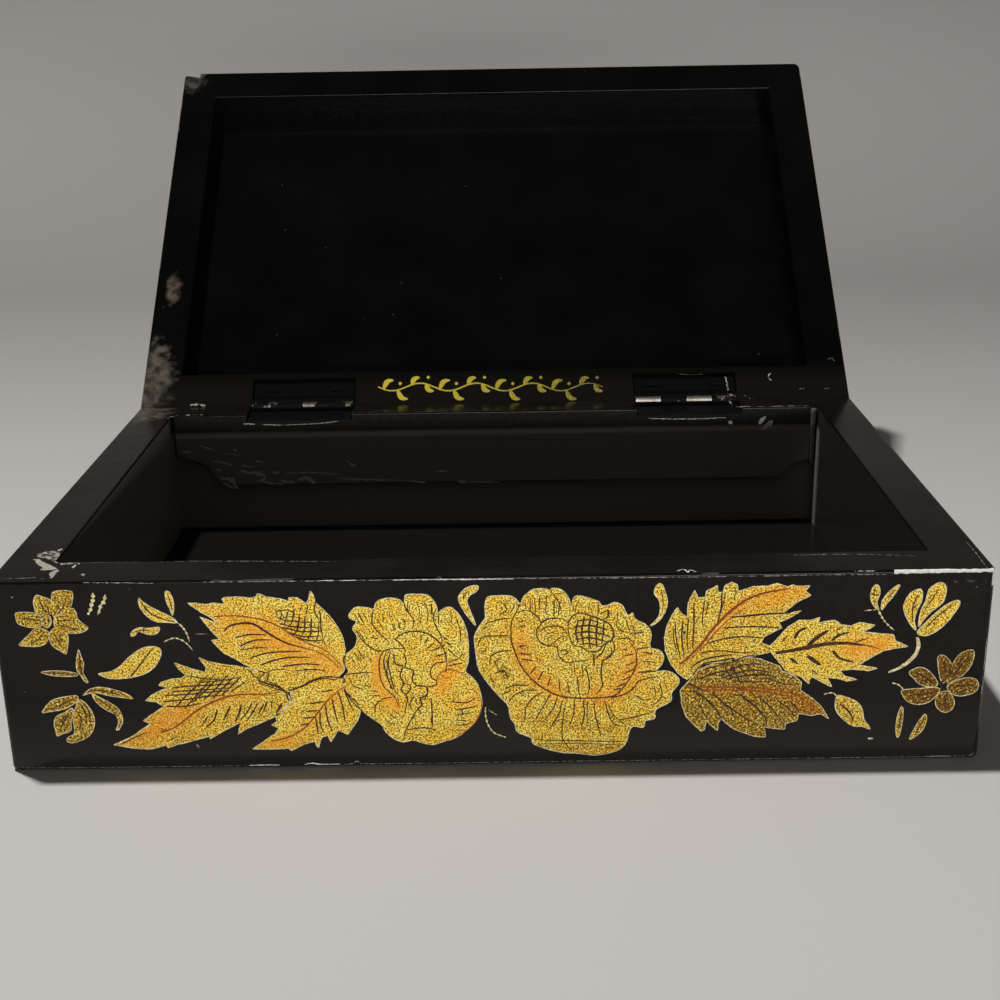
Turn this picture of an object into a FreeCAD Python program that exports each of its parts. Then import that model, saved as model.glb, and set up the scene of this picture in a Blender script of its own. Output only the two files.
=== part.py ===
import FreeCAD, Part
import math
import os

# Kashmiri papier mache box: a shallow lacquered case and a tray-shaped lid on two small butt hinges,
# standing with the lid leaning open on its stop.
# Millimetres and degrees. X to the right, Y away from the front, Z up.
# The origin is on the underside, below the middle of the case.

# Case
case_width = 178.0
case_depth = 117.6
case_height = 37.6
wall_thickness = 9.6            # front and side walls, and the lid's front and side rails
back_wall_thickness = 7.7       # without the batten glued inside it
bottom_thickness = 7.35
case_corner_radius = 1.3        # upright corners
foot_edge_radius = 1.0          # around the underside
rim_edge_radius = 0.5           # outer edge of the joint between case and lid
inner_edge_radius = 0.4         # inner edge of the rim and of the lid's recess

# Batten glued along the inside of the back wall, which thickens it for the hinge screws
batten_thickness = 2.0
batten_height = 18.0
batten_end_gap = 0.5
left_break_width = 11.0         # lower left corner, broken away
left_break_height = 8.0
right_break_width = 8.5         # lower right corner, chipped
right_break_height = 5.0
break_bulge_share = 0.68        # how far the broken edge bows out from the corner

# Lid
lid_thickness = 12.9
lid_recess_depth = 8.0
lid_back_rail_reach = 9.8       # from the hinge line forward to the recess
lid_corner_radius = 1.8         # upright corners
lid_top_edge_radius = 1.1
closing_gap = 0.15              # between the closed lid and the rim
lid_chip_width = 4.5            # chip off the lid's front left corner, on the rim side
lid_chip_corner_depth = 0.9
lid_chip_inner_depth = 1.9
lid_chip_rise = 1.8

# Bevels along the back edges of case and lid, which meet face to face and stop the lid
hinge_inset = 1.8               # from the back face in to the hinge line
open_angle = 138.6
stop_gap = 0.1                  # left between the two bevels when the lid is fully open

# Butt hinges: two equal stamped leaves, each with every second knuckle
hinge_length = 25.4
hinge_margin = 28.3             # from the side of the case to the hinge's outer end
knuckle_count = 4
knuckle_radius = 1.55
knuckle_end_gap = 0.15
leaf_reach = 7.8                # from the hinge line to the leaf's front edge
leaf_thickness = 0.8
leaf_offset = 0.3               # how far the leaf's outer face lies beyond the barrel
knuckle_clearance = 0.3         # between a knuckle and the edge of the other leaf
pin_radius = 0.7
pin_clearance = 0.05
mortise_side_gap = 0.3
mortise_end_gap = 0.3

# Countersunk wood screws in the leaves
screw_spacing = 16.0
screw_setback = 4.8             # from the hinge line
screw_length = 6.3
screw_head_radius = 1.5
screw_shank_radius = 0.8
screw_tip_length = 1.6
screw_tip_radius = 0.15
screw_slot_width = 0.45
screw_slot_depth = 0.35
screw_clearance = 0.05

# Working values: how far cutters run past what they cut, and the least length that counts
overrun = 5.0
least_length = 0.001

# Places that follow from the sizes above
half_width = case_width / 2
front_y = -case_depth / 2
back_y = case_depth / 2
inner_x = half_width - wall_thickness
inner_front_y = front_y + wall_thickness
back_wall_y = back_y - back_wall_thickness
batten_y = back_wall_y - batten_thickness
batten_z = case_height - batten_height
hinge_y = back_y - hinge_inset
hinge_z = case_height + closing_gap / 2
lid_low_z = case_height + closing_gap
lid_high_z = lid_low_z + lid_thickness
recess_z = lid_low_z + lid_recess_depth
recess_back_y = hinge_y - lid_back_rail_reach
leaf_outer = knuckle_radius + leaf_offset
leaf_inner = leaf_outer - leaf_thickness
bevel_angle = open_angle / 2


def point(x, y, z):
    return FreeCAD.Vector(x, y, z)


along_x = point(1, 0, 0)
along_y = point(0, 1, 0)
upward = point(0, 0, 1)
hinge_line = point(0, hinge_y, hinge_z)


def box_between(low, high):
    return Part.makeBox(high.x - low.x, high.y - low.y, high.z - low.z, low)


def turned(shape, centre, axis, angle):
    moved = shape.copy()
    moved.rotate(centre, axis, angle)
    return moved


def moved_by(shape, offset):
    moved = shape.copy()
    moved.translate(offset)
    return moved


def is_level_at(edge, z):
    box = edge.BoundBox
    return abs(box.ZMin - z) < least_length and abs(box.ZMax - z) < least_length


def is_upright(edge):
    box = edge.BoundBox
    return box.XLength < least_length and box.YLength < least_length


def rounded_block(low, high, corner_radius, low_radius, high_radius):
    block = box_between(low, high)
    block = block.makeFillet(corner_radius, [edge for edge in block.Edges if is_upright(edge)])
    block = block.makeFillet(low_radius, [edge for edge in block.Edges if is_level_at(edge, low.z)])
    return block.makeFillet(high_radius, [edge for edge in block.Edges if is_level_at(edge, high.z)])


def soften_mouth(shape, mouth_z, back_limit_y):
    # Rounds the edges around the mouth of a hollow, which lie inside the outer walls.
    edges = []
    for edge in shape.Edges:
        box = edge.BoundBox
        inside_x = box.XMin > -inner_x - least_length and box.XMax < inner_x + least_length
        inside_y = box.YMin > inner_front_y - least_length and box.YMax < back_limit_y + least_length
        if is_level_at(edge, mouth_z) and inside_x and inside_y:
            edges.append(edge)
    return shape.makeFillet(inner_edge_radius, edges)


def bevel_cutter(side):
    # Everything beyond the bevel plane. side is -1 on the case, below the hinge line, and 1 on the lid.
    reach = case_depth
    cutter = Part.makeBox(case_width + 2 * overrun, reach, 2 * reach)
    cutter.translate(point(-half_width - overrun, hinge_y - stop_gap / 2, hinge_z - reach))
    return turned(cutter, hinge_line, along_x, -side * (90 - bevel_angle))


def hinge_centres():
    centre_x = half_width - hinge_margin - hinge_length / 2
    return {"left": -centre_x, "right": centre_x}


def screw_places(centre_x):
    return [centre_x - screw_spacing / 2, centre_x + screw_spacing / 2]


def case_mortise(centre_x):
    # Cut right across the rim, from the back to the inner edge of the batten.
    half_length = hinge_length / 2 + mortise_side_gap
    return box_between(
        point(centre_x - half_length, batten_y - overrun, hinge_z - leaf_outer),
        point(centre_x + half_length, back_y + overrun, hinge_z + overrun))


def lid_mortise(centre_x):
    # Stops behind the front edge of the leaf, so the recess keeps a lip of wood.
    half_length = hinge_length / 2 + mortise_side_gap
    return box_between(
        point(centre_x - half_length, hinge_y - leaf_reach - mortise_end_gap, hinge_z - overrun),
        point(centre_x + half_length, back_y + overrun, hinge_z + leaf_outer))


def screw_body(extra_radius):
    # Head on top at the origin, pointing down. extra_radius gives the hole that it sits in.
    head_radius = screw_head_radius + extra_radius
    shank_radius = screw_shank_radius + extra_radius
    shank_length = screw_length - leaf_thickness - screw_tip_length
    downward = point(0, 0, -1)
    head = Part.makeCone(head_radius, shank_radius, leaf_thickness, point(0, 0, 0), downward)
    shank = Part.makeCylinder(shank_radius, shank_length, point(0, 0, -leaf_thickness), downward)
    tip_top = point(0, 0, -leaf_thickness - shank_length)
    tip = Part.makeCone(shank_radius, screw_tip_radius + extra_radius, screw_tip_length, tip_top, downward)
    return head.fuse(shank).fuse(tip).removeSplitter()


def wood_screw():
    slot = box_between(
        point(-screw_head_radius - overrun, -screw_slot_width / 2, -screw_slot_depth),
        point(screw_head_radius + overrun, screw_slot_width / 2, overrun))
    return screw_body(0).cut(slot)


def case_side_at(shape, x):
    # Sets a screw, or its hole, in the leaf on the case.
    return moved_by(shape, point(x, hinge_y - screw_setback, hinge_z - leaf_inner))


def lid_side_at(shape, x):
    flipped = turned(shape, point(0, 0, 0), along_y, 180)
    return moved_by(flipped, point(x, hinge_y - screw_setback, hinge_z + leaf_inner))


def closed_leaf(centre_x):
    # The leaf on the case, below the hinge line. Its knuckles are the second and the fourth.
    knuckle_length = hinge_length / knuckle_count
    start_x = centre_x - hinge_length / 2
    leaf = box_between(
        point(start_x, hinge_y - leaf_reach, hinge_z - leaf_outer),
        point(start_x + hinge_length, hinge_y, hinge_z - leaf_inner))
    for index in range(knuckle_count):
        knuckle_x = start_x + index * knuckle_length
        if index % 2:
            length = knuckle_length - knuckle_end_gap
            knuckle = Part.makeCylinder(
                knuckle_radius, length, point(knuckle_x + knuckle_end_gap / 2, hinge_y, hinge_z), along_x)
            leaf = leaf.fuse(knuckle)
        else:
            clearance_y = hinge_y - knuckle_radius - knuckle_clearance
            gap_low_x = knuckle_x - knuckle_end_gap / 2
            gap_high_x = knuckle_x + knuckle_length + knuckle_end_gap / 2
            if index == 0:
                gap_low_x = knuckle_x - overrun
            if index == knuckle_count - 1:
                gap_high_x = knuckle_x + knuckle_length + overrun
            gap = box_between(
                point(gap_low_x, clearance_y, hinge_z - leaf_outer - overrun),
                point(gap_high_x, hinge_y + overrun, hinge_z + overrun))
            leaf = leaf.cut(gap)
    bore = Part.makeCylinder(
        pin_radius + pin_clearance, hinge_length + 2 * overrun,
        point(start_x - overrun, hinge_y, hinge_z), along_x)
    leaf = leaf.cut(bore)
    for screw_x in screw_places(centre_x):
        leaf = leaf.cut(case_side_at(screw_body(screw_clearance), screw_x))
    return leaf.removeSplitter()


def lid_leaf(centre_x):
    # The same stamping, turned over about the middle of the hinge.
    return turned(closed_leaf(centre_x), point(centre_x, hinge_y, hinge_z), along_y, 180)


def hinge_pin(centre_x):
    length = hinge_length - knuckle_end_gap
    return Part.makeCylinder(
        pin_radius, length, point(centre_x - length / 2, hinge_y, hinge_z), along_x)


def case_pieces():
    block = rounded_block(
        point(-half_width, front_y, 0), point(half_width, back_y, case_height),
        case_corner_radius, foot_edge_radius, rim_edge_radius)
    hollow = box_between(
        point(-inner_x, inner_front_y, -overrun), point(inner_x, batten_y, case_height + overrun))
    carcass = soften_mouth(block.cut(hollow), case_height, batten_y)
    carcass = carcass.cut(bevel_cutter(-1))
    for centre_x in hinge_centres().values():
        carcass = carcass.cut(case_mortise(centre_x))
        for screw_x in screw_places(centre_x):
            carcass = carcass.cut(case_side_at(screw_body(screw_clearance), screw_x))

    low_z = -overrun
    high_z = case_height + overrun
    far_x = half_width + overrun
    regions = {
        "front_wall": (point(-far_x, front_y - overrun, low_z), point(far_x, inner_front_y, high_z)),
        "back_wall": (point(-far_x, back_wall_y, low_z), point(far_x, back_y + overrun, high_z)),
        "left_wall": (point(-far_x, inner_front_y, low_z), point(-inner_x, back_wall_y, high_z)),
        "right_wall": (point(inner_x, inner_front_y, low_z), point(far_x, back_wall_y, high_z)),
        "hinge_batten": (
            point(-inner_x + batten_end_gap, batten_y, batten_z),
            point(inner_x - batten_end_gap, back_wall_y, high_z)),
    }
    pieces = {name: carcass.common(box_between(low, high)) for name, (low, high) in regions.items()}
    for side, width, height in (
            (-1, left_break_width, left_break_height),
            (1, right_break_width, right_break_height)):
        pieces["hinge_batten"] = pieces["hinge_batten"].cut(break_cutter(side, width, height))
    pieces["bottom_board"] = box_between(
        point(-inner_x, inner_front_y, 0), point(inner_x, back_wall_y, bottom_thickness))
    return pieces


def break_cutter(side, width, height):
    # A four-sided chip out of the batten's lower corner, bowed out at the middle of its edge.
    corner_x = side * inner_x
    outline = [
        (corner_x + side * overrun, batten_z - overrun),
        (corner_x + side * overrun, batten_z + height),
        (corner_x, batten_z + height),
        (corner_x - side * width * break_bulge_share, batten_z + height * break_bulge_share),
        (corner_x - side * width, batten_z),
        (corner_x - side * width, batten_z - overrun),
    ]
    points = [point(x, batten_y - overrun, z) for x, z in outline]
    face = Part.Face(Part.makePolygon(points + points[:1]))
    return face.extrude(point(0, batten_thickness + 2 * overrun, 0))


def closed_lid_pieces():
    block = rounded_block(
        point(-half_width, front_y, lid_low_z), point(half_width, back_y, lid_high_z),
        lid_corner_radius, rim_edge_radius, lid_top_edge_radius)
    recess = box_between(
        point(-inner_x, inner_front_y, lid_low_z - overrun), point(inner_x, recess_back_y, recess_z))
    tray = soften_mouth(block.cut(recess), lid_low_z, recess_back_y)
    tray = tray.cut(bevel_cutter(1))
    for centre_x in hinge_centres().values():
        tray = tray.cut(lid_mortise(centre_x))
        for screw_x in screw_places(centre_x):
            tray = tray.cut(lid_side_at(screw_body(screw_clearance), screw_x))

    low_z = lid_low_z - overrun
    high_z = lid_high_z + overrun
    far_x = half_width + overrun
    near_y = front_y - overrun
    far_y = back_y + overrun
    regions = {
        "lid_panel": (point(-far_x, near_y, recess_z), point(far_x, far_y, high_z)),
        "lid_front_rail": (point(-far_x, near_y, low_z), point(far_x, inner_front_y, recess_z)),
        "lid_back_rail": (point(-far_x, recess_back_y, low_z), point(far_x, far_y, recess_z)),
        "lid_left_rail": (point(-far_x, inner_front_y, low_z), point(-inner_x, recess_back_y, recess_z)),
        "lid_right_rail": (point(inner_x, inner_front_y, low_z), point(far_x, recess_back_y, recess_z)),
    }
    pieces = {name: tray.common(box_between(low, high)) for name, (low, high) in regions.items()}
    pieces["lid_front_rail"] = pieces["lid_front_rail"].cut(lid_chip_cutter())
    return pieces


def lid_chip_cutter():
    # Deepest at its inner end, so the chip runs out towards the corner.
    outline = [
        (-half_width - overrun, front_y - overrun),
        (-half_width - overrun, front_y + lid_chip_corner_depth),
        (-half_width, front_y + lid_chip_corner_depth),
        (-half_width + lid_chip_width, front_y + lid_chip_inner_depth),
        (-half_width + lid_chip_width, front_y - overrun),
    ]
    points = [point(x, y, lid_low_z - overrun) for x, y in outline]
    face = Part.Face(Part.makePolygon(points + points[:1]))
    return face.extrude(point(0, 0, overrun + lid_chip_rise))


def opened(shape):
    # From closed on the rim to leaning back on the stop.
    return turned(shape, hinge_line, along_x, -open_angle)


def build():
    pieces = case_pieces()
    for name, shape in closed_lid_pieces().items():
        pieces[name] = opened(shape)
    for side, centre_x in hinge_centres().items():
        screw = wood_screw()
        case_screws = [case_side_at(screw, x) for x in screw_places(centre_x)]
        lid_screws = [lid_side_at(screw, x) for x in screw_places(centre_x)]
        pieces[side + "_hinge_case_leaf"] = closed_leaf(centre_x)
        pieces[side + "_hinge_lid_leaf"] = opened(lid_leaf(centre_x))
        pieces[side + "_hinge_pin"] = hinge_pin(centre_x)
        pieces[side + "_hinge_case_screws"] = Part.makeCompound(case_screws)
        pieces[side + "_hinge_lid_screws"] = opened(Part.makeCompound(lid_screws))
    return pieces


os.makedirs("parts", exist_ok=True)
for name, shape in sorted(build().items()):
    shape.exportStep("parts/" + name + ".step")
    print(name, "solids", len(shape.Solids), "valid", shape.isValid(), "volume", round(shape.Volume, 2))
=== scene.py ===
import bmesh
import bpy
import math
import numpy
from mathutils import Matrix, Vector, noise


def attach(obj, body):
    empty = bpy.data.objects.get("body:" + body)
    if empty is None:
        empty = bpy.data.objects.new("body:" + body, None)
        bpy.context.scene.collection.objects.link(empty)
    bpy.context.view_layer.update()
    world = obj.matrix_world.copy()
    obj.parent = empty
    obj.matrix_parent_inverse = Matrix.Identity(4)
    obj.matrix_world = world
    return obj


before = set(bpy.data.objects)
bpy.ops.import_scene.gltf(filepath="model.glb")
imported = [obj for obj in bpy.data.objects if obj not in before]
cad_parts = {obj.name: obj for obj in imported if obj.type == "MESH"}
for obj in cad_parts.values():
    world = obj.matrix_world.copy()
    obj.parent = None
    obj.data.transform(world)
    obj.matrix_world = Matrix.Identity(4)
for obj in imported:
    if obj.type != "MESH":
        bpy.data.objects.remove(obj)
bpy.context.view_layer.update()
mm = 0.001

# The box's main sizes, as the CAD has them. jointGap: from the hinge line to either rim, plateDepth: how far the
# hinge plates lie below the lid's rim, knuckle: the radius of the hinge barrels
box = {
    "halfWidth": 89 * mm, "frontY": -58.8 * mm, "backY": 58.8 * mm, "rimZ": 37.6 * mm, "wall": 9.6 * mm,
    "rimRound": 0.5 * mm, "footRound": 1.0 * mm, "cornerRound": 1.3 * mm, "floorZ": 7.35 * mm,
    "battenY": 49.1 * mm, "backWallY": 51.1 * mm, "hingeY": 57 * mm, "hingeZ": 37.675 * mm,
    "lidThick": 12.9 * mm, "lidOpen": 138.6, "jointGap": 0.075 * mm, "plateDepth": 1.05 * mm, "knuckle": 1.55 * mm,
}

# Camera, fitted to the corners of the box in the photograph
cameraPlan = {
    "place": (0.00405, -0.29677, 0.13406), "pitch": 19.077, "yaw": -0.493, "roll": 1.001,
    "focalPixels": 1458.3, "imagePixels": 1000, "sensor": 36, "clipStart": 0.01,
}


def cameraAxes():
    pitch, yaw, roll = (math.radians(cameraPlan[name]) for name in ("pitch", "yaw", "roll"))
    forward = Vector((math.sin(yaw) * math.cos(pitch), math.cos(yaw) * math.cos(pitch), -math.sin(pitch)))
    level = Vector((math.cos(yaw), -math.sin(yaw), 0))
    down = forward.cross(level)
    right = math.cos(roll) * level + math.sin(roll) * down
    return right, -math.sin(roll) * level + math.cos(roll) * down, forward


def makeCamera():
    right, down, forward = cameraAxes()
    data = bpy.data.cameras.new("photoCamera")
    data.sensor_width = cameraPlan["sensor"]
    data.lens = cameraPlan["sensor"] * cameraPlan["focalPixels"] / cameraPlan["imagePixels"]
    data.clip_start = cameraPlan["clipStart"]
    camera = bpy.data.objects.new("photoCamera", data)
    bpy.context.collection.objects.link(camera)
    turn = Matrix((right, -down, -forward)).transposed().to_4x4()
    camera.matrix_world = Matrix.Translation(cameraPlan["place"]) @ turn
    bpy.context.scene.camera = camera


makeCamera()
print("camera ready")

# Surfaces that carry ornament or wear: a corner or middle point, and the directions across, up and outward
lidTurn = math.radians(box["lidOpen"])
lidForward = Vector((0, -math.cos(lidTurn), math.sin(lidTurn)))   # from the hinges to the lid's free edge
lidOutward = Vector((0, math.sin(lidTurn), math.cos(lidTurn)))    # from the recess to the lid's outer face
hingeLine = Vector((0, box["hingeY"], box["hingeZ"]))
cornerFall = box["cornerRound"] * (1 - math.sqrt(0.5))            # from the square corner to the round one
toRight, toBack, upright = Vector((1, 0, 0)), Vector((0, 1, 0)), Vector((0, 0, 1))
barrelOut, barrelUp = Vector((0, -0.94, 0.34)), Vector((0, 0.34, 0.94))


def makeSurface(origin, across, up, body="case"):
    return {"origin": Vector(origin), "across": across, "up": up, "outward": across.cross(up), "body": body}


surfaces = {
    "front": makeSurface((0, box["frontY"], 0), toRight, upright),
    "right": makeSurface((box["halfWidth"], 0, 0), toBack, upright),
    "left": makeSurface((-box["halfWidth"], 0, 0), -toBack, upright),
    "back": makeSurface((0, box["backY"], 0), -toRight, upright),
    "rim": makeSurface((0, 0, box["rimZ"]), toRight, toBack),
    "batten": makeSurface((0, box["battenY"], 0), toRight, upright),
    "frontRightCorner": makeSurface((box["halfWidth"] - cornerFall, box["frontY"] + cornerFall, 0),
                                    (toRight + toBack).normalized(), upright),
    "lidTop": makeSurface(hingeLine + lidOutward * (box["jointGap"] + box["lidThick"]), toRight, -lidForward, "lid"),
    "lidRim": makeSurface(hingeLine + lidOutward * box["jointGap"], toRight, lidForward, "lid"),
    "lidPlate": makeSurface(hingeLine + lidOutward * box["plateDepth"], toRight, lidForward, "lid"),
    "barrel": makeSurface(hingeLine + barrelOut * box["knuckle"], toRight, barrelUp),
}


def roundedOff(name, spot):
    # How far the front and the rim fall back at their rounded edges
    side = abs(spot[0]) - box["halfWidth"]
    if name == "front":
        edges = ((side, "cornerRound"), (spot[1] - box["rimZ"], "rimRound"), (-spot[1], "footRound"))
    elif name == "rim":
        edges = ((side, "rimRound"), (box["frontY"] - spot[1], "rimRound"))
    else:
        edges = ()
    fall = 0
    for beyond, edge in edges:
        share = min(max((beyond + box[edge]) / box[edge], 0), 1)
        fall += box[edge] * (1 - math.sqrt(1 - share ** 2))
    return fall


# How far ornament and wear stay from the edges of the surfaces
keepAway = {"edge": 0.1 * mm, "foot": 0.6 * mm, "opening": 0.25 * mm, "corner": 0.3 * mm}


def keptOn(name, spot, margin=0.0):
    # The nearest place on the surface, for a spot beyond its edges or over the case's opening
    if name == "frontRightCorner":
        return Vector((min(max(spot[0], -keepAway["corner"]), keepAway["corner"]), spot[1]))
    if name not in ("front", "rim"):
        return spot
    inset = keepAway["edge"] + margin
    side = box["halfWidth"] - inset
    x, y = min(max(spot[0], -side), side), spot[1]
    if name == "front":
        return Vector((x, min(max(y, keepAway["foot"] + margin), box["rimZ"] - inset)))
    y = max(y, box["frontY"] + inset)
    past = keepAway["opening"] + margin
    openX, openFront = box["halfWidth"] - box["wall"] + past, box["frontY"] + box["wall"] - past
    openBack = box["battenY"] + past
    if abs(x) < openX and openFront < y < openBack:
        ways = [(openX - abs(x), (math.copysign(openX, x), y)), (y - openFront, (x, openFront)),
                (openBack - y, (x, openBack))]
        return Vector(min(ways)[1])
    return Vector((x, y))


def onSurface(name, spot, lift=0.0):
    surface = surfaces[name]
    spot = keptOn(name, spot)
    lift -= roundedOff(name, spot)
    return surface["origin"] + surface["across"] * spot[0] + surface["up"] * spot[1] + surface["outward"] * lift


# Enlarged views of the photograph that the points below were read from: left, top and enlargement
closeUps = {
    "left": (0, 540, 4.61), "middle": (320, 540, 4.126), "right": (660, 540, 4.61), "corner": (0.5, 539.6, 17.4),
    "backLeft": (130, 330, 4.238), "backRight": (560, 330, 5.058), "whole": (0, 0, 1),
}


def throughPhoto(view, point, name="front"):
    # Where the line of sight through a point of the photograph meets a surface
    left, top, scale = closeUps[view]
    right, down, forward = cameraAxes()
    middle = cameraPlan["imagePixels"] / 2
    sight = (forward * cameraPlan["focalPixels"] + right * (left + point[0] / scale - middle)
             + down * (top + point[1] / scale - middle))
    surface, start = surfaces[name], Vector(cameraPlan["place"])
    reach = (surface["origin"] - start).dot(surface["outward"]) / sight.dot(surface["outward"])
    spot = start + sight * reach - surface["origin"]
    return Vector((spot.dot(surface["across"]), spot.dot(surface["up"])))


# The painted flowers and leaves. gold: outlines, ink and red: drawn lines with their widths, blush: orange
# glazes with their reach and strength, marks: single strokes of gold, rub: how worn the gold is, dim: places
# worn more, with their reach and strength, bold: how wide the drawn lines are
motifs = {}
motifs["leftBlossom"] = {
    "view": "left", "rub": 0.75,
    "gold": [
        [(154, 284), (167, 254), (199, 263), (231, 274), (236, 300), (242, 338), (220, 346), (199, 346), (178, 350),
         (162, 327)],
        [(241, 243), (266, 233), (308, 233), (333, 239), (335, 271), (329, 302), (318, 326), (281, 337), (251, 356),
         (239, 334), (237, 297), (237, 271)],
        [(251, 358), (281, 342), (317, 323), (336, 314), (351, 336), (357, 362), (379, 383), (405, 403), (389, 421),
         (357, 430), (320, 430), (288, 420), (256, 406), (249, 384)],
        [(250, 407), (293, 422), (309, 431), (315, 455), (312, 487), (304, 525), (282, 513), (255, 498), (234, 477),
         (226, 440), (234, 421)],
        [(202, 410), (225, 425), (225, 451), (208, 479), (176, 490), (128, 490), (88, 485), (101, 468), (128, 441),
         (154, 414), (181, 405)],
        [(72, 337), (114, 332), (163, 337), (188, 353), (194, 375), (189, 398), (157, 404), (114, 398), (82, 384),
         (75, 364)],
        [(215, 343), (230, 352), (237, 374), (230, 396), (215, 405), (200, 396), (193, 374), (200, 352)]],
    "ink": [
        ([(212, 338), (196, 310), (184, 282)], 4), ([(228, 338), (215, 300)], 5),
        ([(262, 345), (285, 318), (300, 290), (302, 262)], 4), ([(254, 340), (268, 310), (272, 285)], 3),
        ([(262, 372), (300, 370), (345, 372)], 4), ([(270, 390), (320, 404), (365, 408)], 4),
        ([(250, 430), (270, 465), (292, 505)], 4), ([(242, 440), (258, 478)], 3),
        ([(205, 425), (180, 455), (140, 478)], 4), ([(184, 372), (140, 364), (100, 362)], 5),
        ([(180, 388), (150, 386)], 3), ([(178, 358), (140, 350)], 3), ([(222, 356), (224, 390)], 4),
        ([(208, 356), (206, 388)], 4)],
}
motifs["dashes"] = {
    "view": "left", "rub": 0.5,
    "marks": [
        ([(427, 243), (430, 268), (422, 295), (418, 320), (405, 345)], 25, "beaded"),
        ([(485, 253), (480, 280), (466, 300), (458, 325), (450, 345)], 24, "beaded")],
}
motifs["topSprigLeft"] = {
    "view": "left", "rub": 0.25,
    "gold": [
        [(640, 268), (652, 280), (680, 300), (720, 322), (765, 343), (800, 362), (815, 380), (770, 379), (720, 376),
         (685, 356), (655, 325), (640, 295)],
        [(762, 236), (779, 240), (795, 270), (801, 305), (795, 347), (785, 320), (770, 290), (763, 262)],
        [(605, 442), (607, 424), (640, 405), (680, 407), (735, 403), (722, 430), (690, 436), (660, 427), (638, 421),
         (622, 440)]],
    "ink": [
        ([(648, 285), (690, 335), (745, 362), (808, 378)], 5), ([(772, 250), (785, 285), (795, 330)], 4),
        ([(625, 425), (655, 415), (700, 420)], 4), ([(660, 405), (664, 428)], 5)],
    "marks": [
        ([(806, 372), (838, 398), (860, 430), (874, 468)], 12, "beaded"),
        ([(755, 470), (800, 452), (840, 462), (868, 484), (888, 508)], 10, "beaded")],
}
motifs["commaLeaf"] = {
    "view": "left", "rub": 0.1,
    "gold": [
        [(455, 616), (505, 608), (550, 585), (590, 545), (640, 507), (690, 491), (735, 499), (741, 530), (716, 580),
         (670, 615), (610, 632), (545, 639), (500, 637), (478, 629)]],
    "ink": [([(602, 631), (640, 583), (678, 532), (706, 496)], 6)],
}
motifs["crossSprig"] = {
    "view": "left", "rub": 0.85,
    "gold": [
        [(362, 505), (371, 530), (386, 570), (383, 610), (407, 656), (389, 650), (370, 620), (355, 600), (352, 560)],
        [(190, 610), (230, 603), (290, 604), (350, 613), (356, 626), (300, 629), (240, 625)]],
    "ink": [
        ([(365, 520), (370, 570), (378, 615)], 4), ([(205, 612), (270, 614), (345, 620)], 4),
        ([(358, 585), (382, 592)], 6), ([(372, 618), (392, 612)], 5)],
}
motifs["rosebud"] = {
    "view": "left", "rub": 0.8,
    "gold": [
        [(195, 796), (210, 768), (240, 739), (281, 726), (317, 720), (352, 717), (361, 734), (337, 758), (302, 778),
         (261, 787), (224, 792)],
        [(363, 737), (384, 743), (411, 771), (429, 803), (436, 834), (431, 871), (411, 902), (374, 924), (333, 935),
         (309, 927), (317, 907), (341, 896), (344, 871), (338, 840), (338, 807), (349, 771)],
        [(251, 831), (265, 810), (302, 793), (333, 775), (337, 803), (327, 840), (330, 871), (316, 886), (291, 891),
         (265, 904), (258, 880), (251, 860)],
        [(383, 716), (415, 687), (463, 678), (522, 689), (581, 708), (614, 731), (575, 727), (511, 719), (452, 706),
         (415, 706)],
        [(424, 708), (467, 729), (515, 755), (550, 784), (566, 833), (547, 876), (536, 875), (547, 838), (531, 804),
         (489, 782), (446, 749)]],
    "ink": [
        ([(228, 783), (270, 765), (330, 740)], 4), ([(345, 735), (300, 748), (262, 768)], 4),
        ([(372, 760), (395, 800), (398, 850)], 6), ([(358, 790), (374, 830), (368, 880)], 5),
        ([(392, 758), (415, 800), (416, 850)], 4), ([(345, 903), (375, 905)], 4),
        ([(320, 800), (298, 830), (280, 870)], 6), ([(305, 806), (283, 830), (268, 855)], 5),
        ([(316, 850), (300, 872)], 5), ([(405, 696), (470, 694), (560, 716)], 4),
        ([(450, 730), (510, 775), (545, 830)], 4), ([(470, 684), (476, 706)], 5), ([(520, 692), (516, 716)], 5),
        ([(512, 762), (500, 784)], 5), ([(548, 802), (536, 815)], 5)],
}
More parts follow.
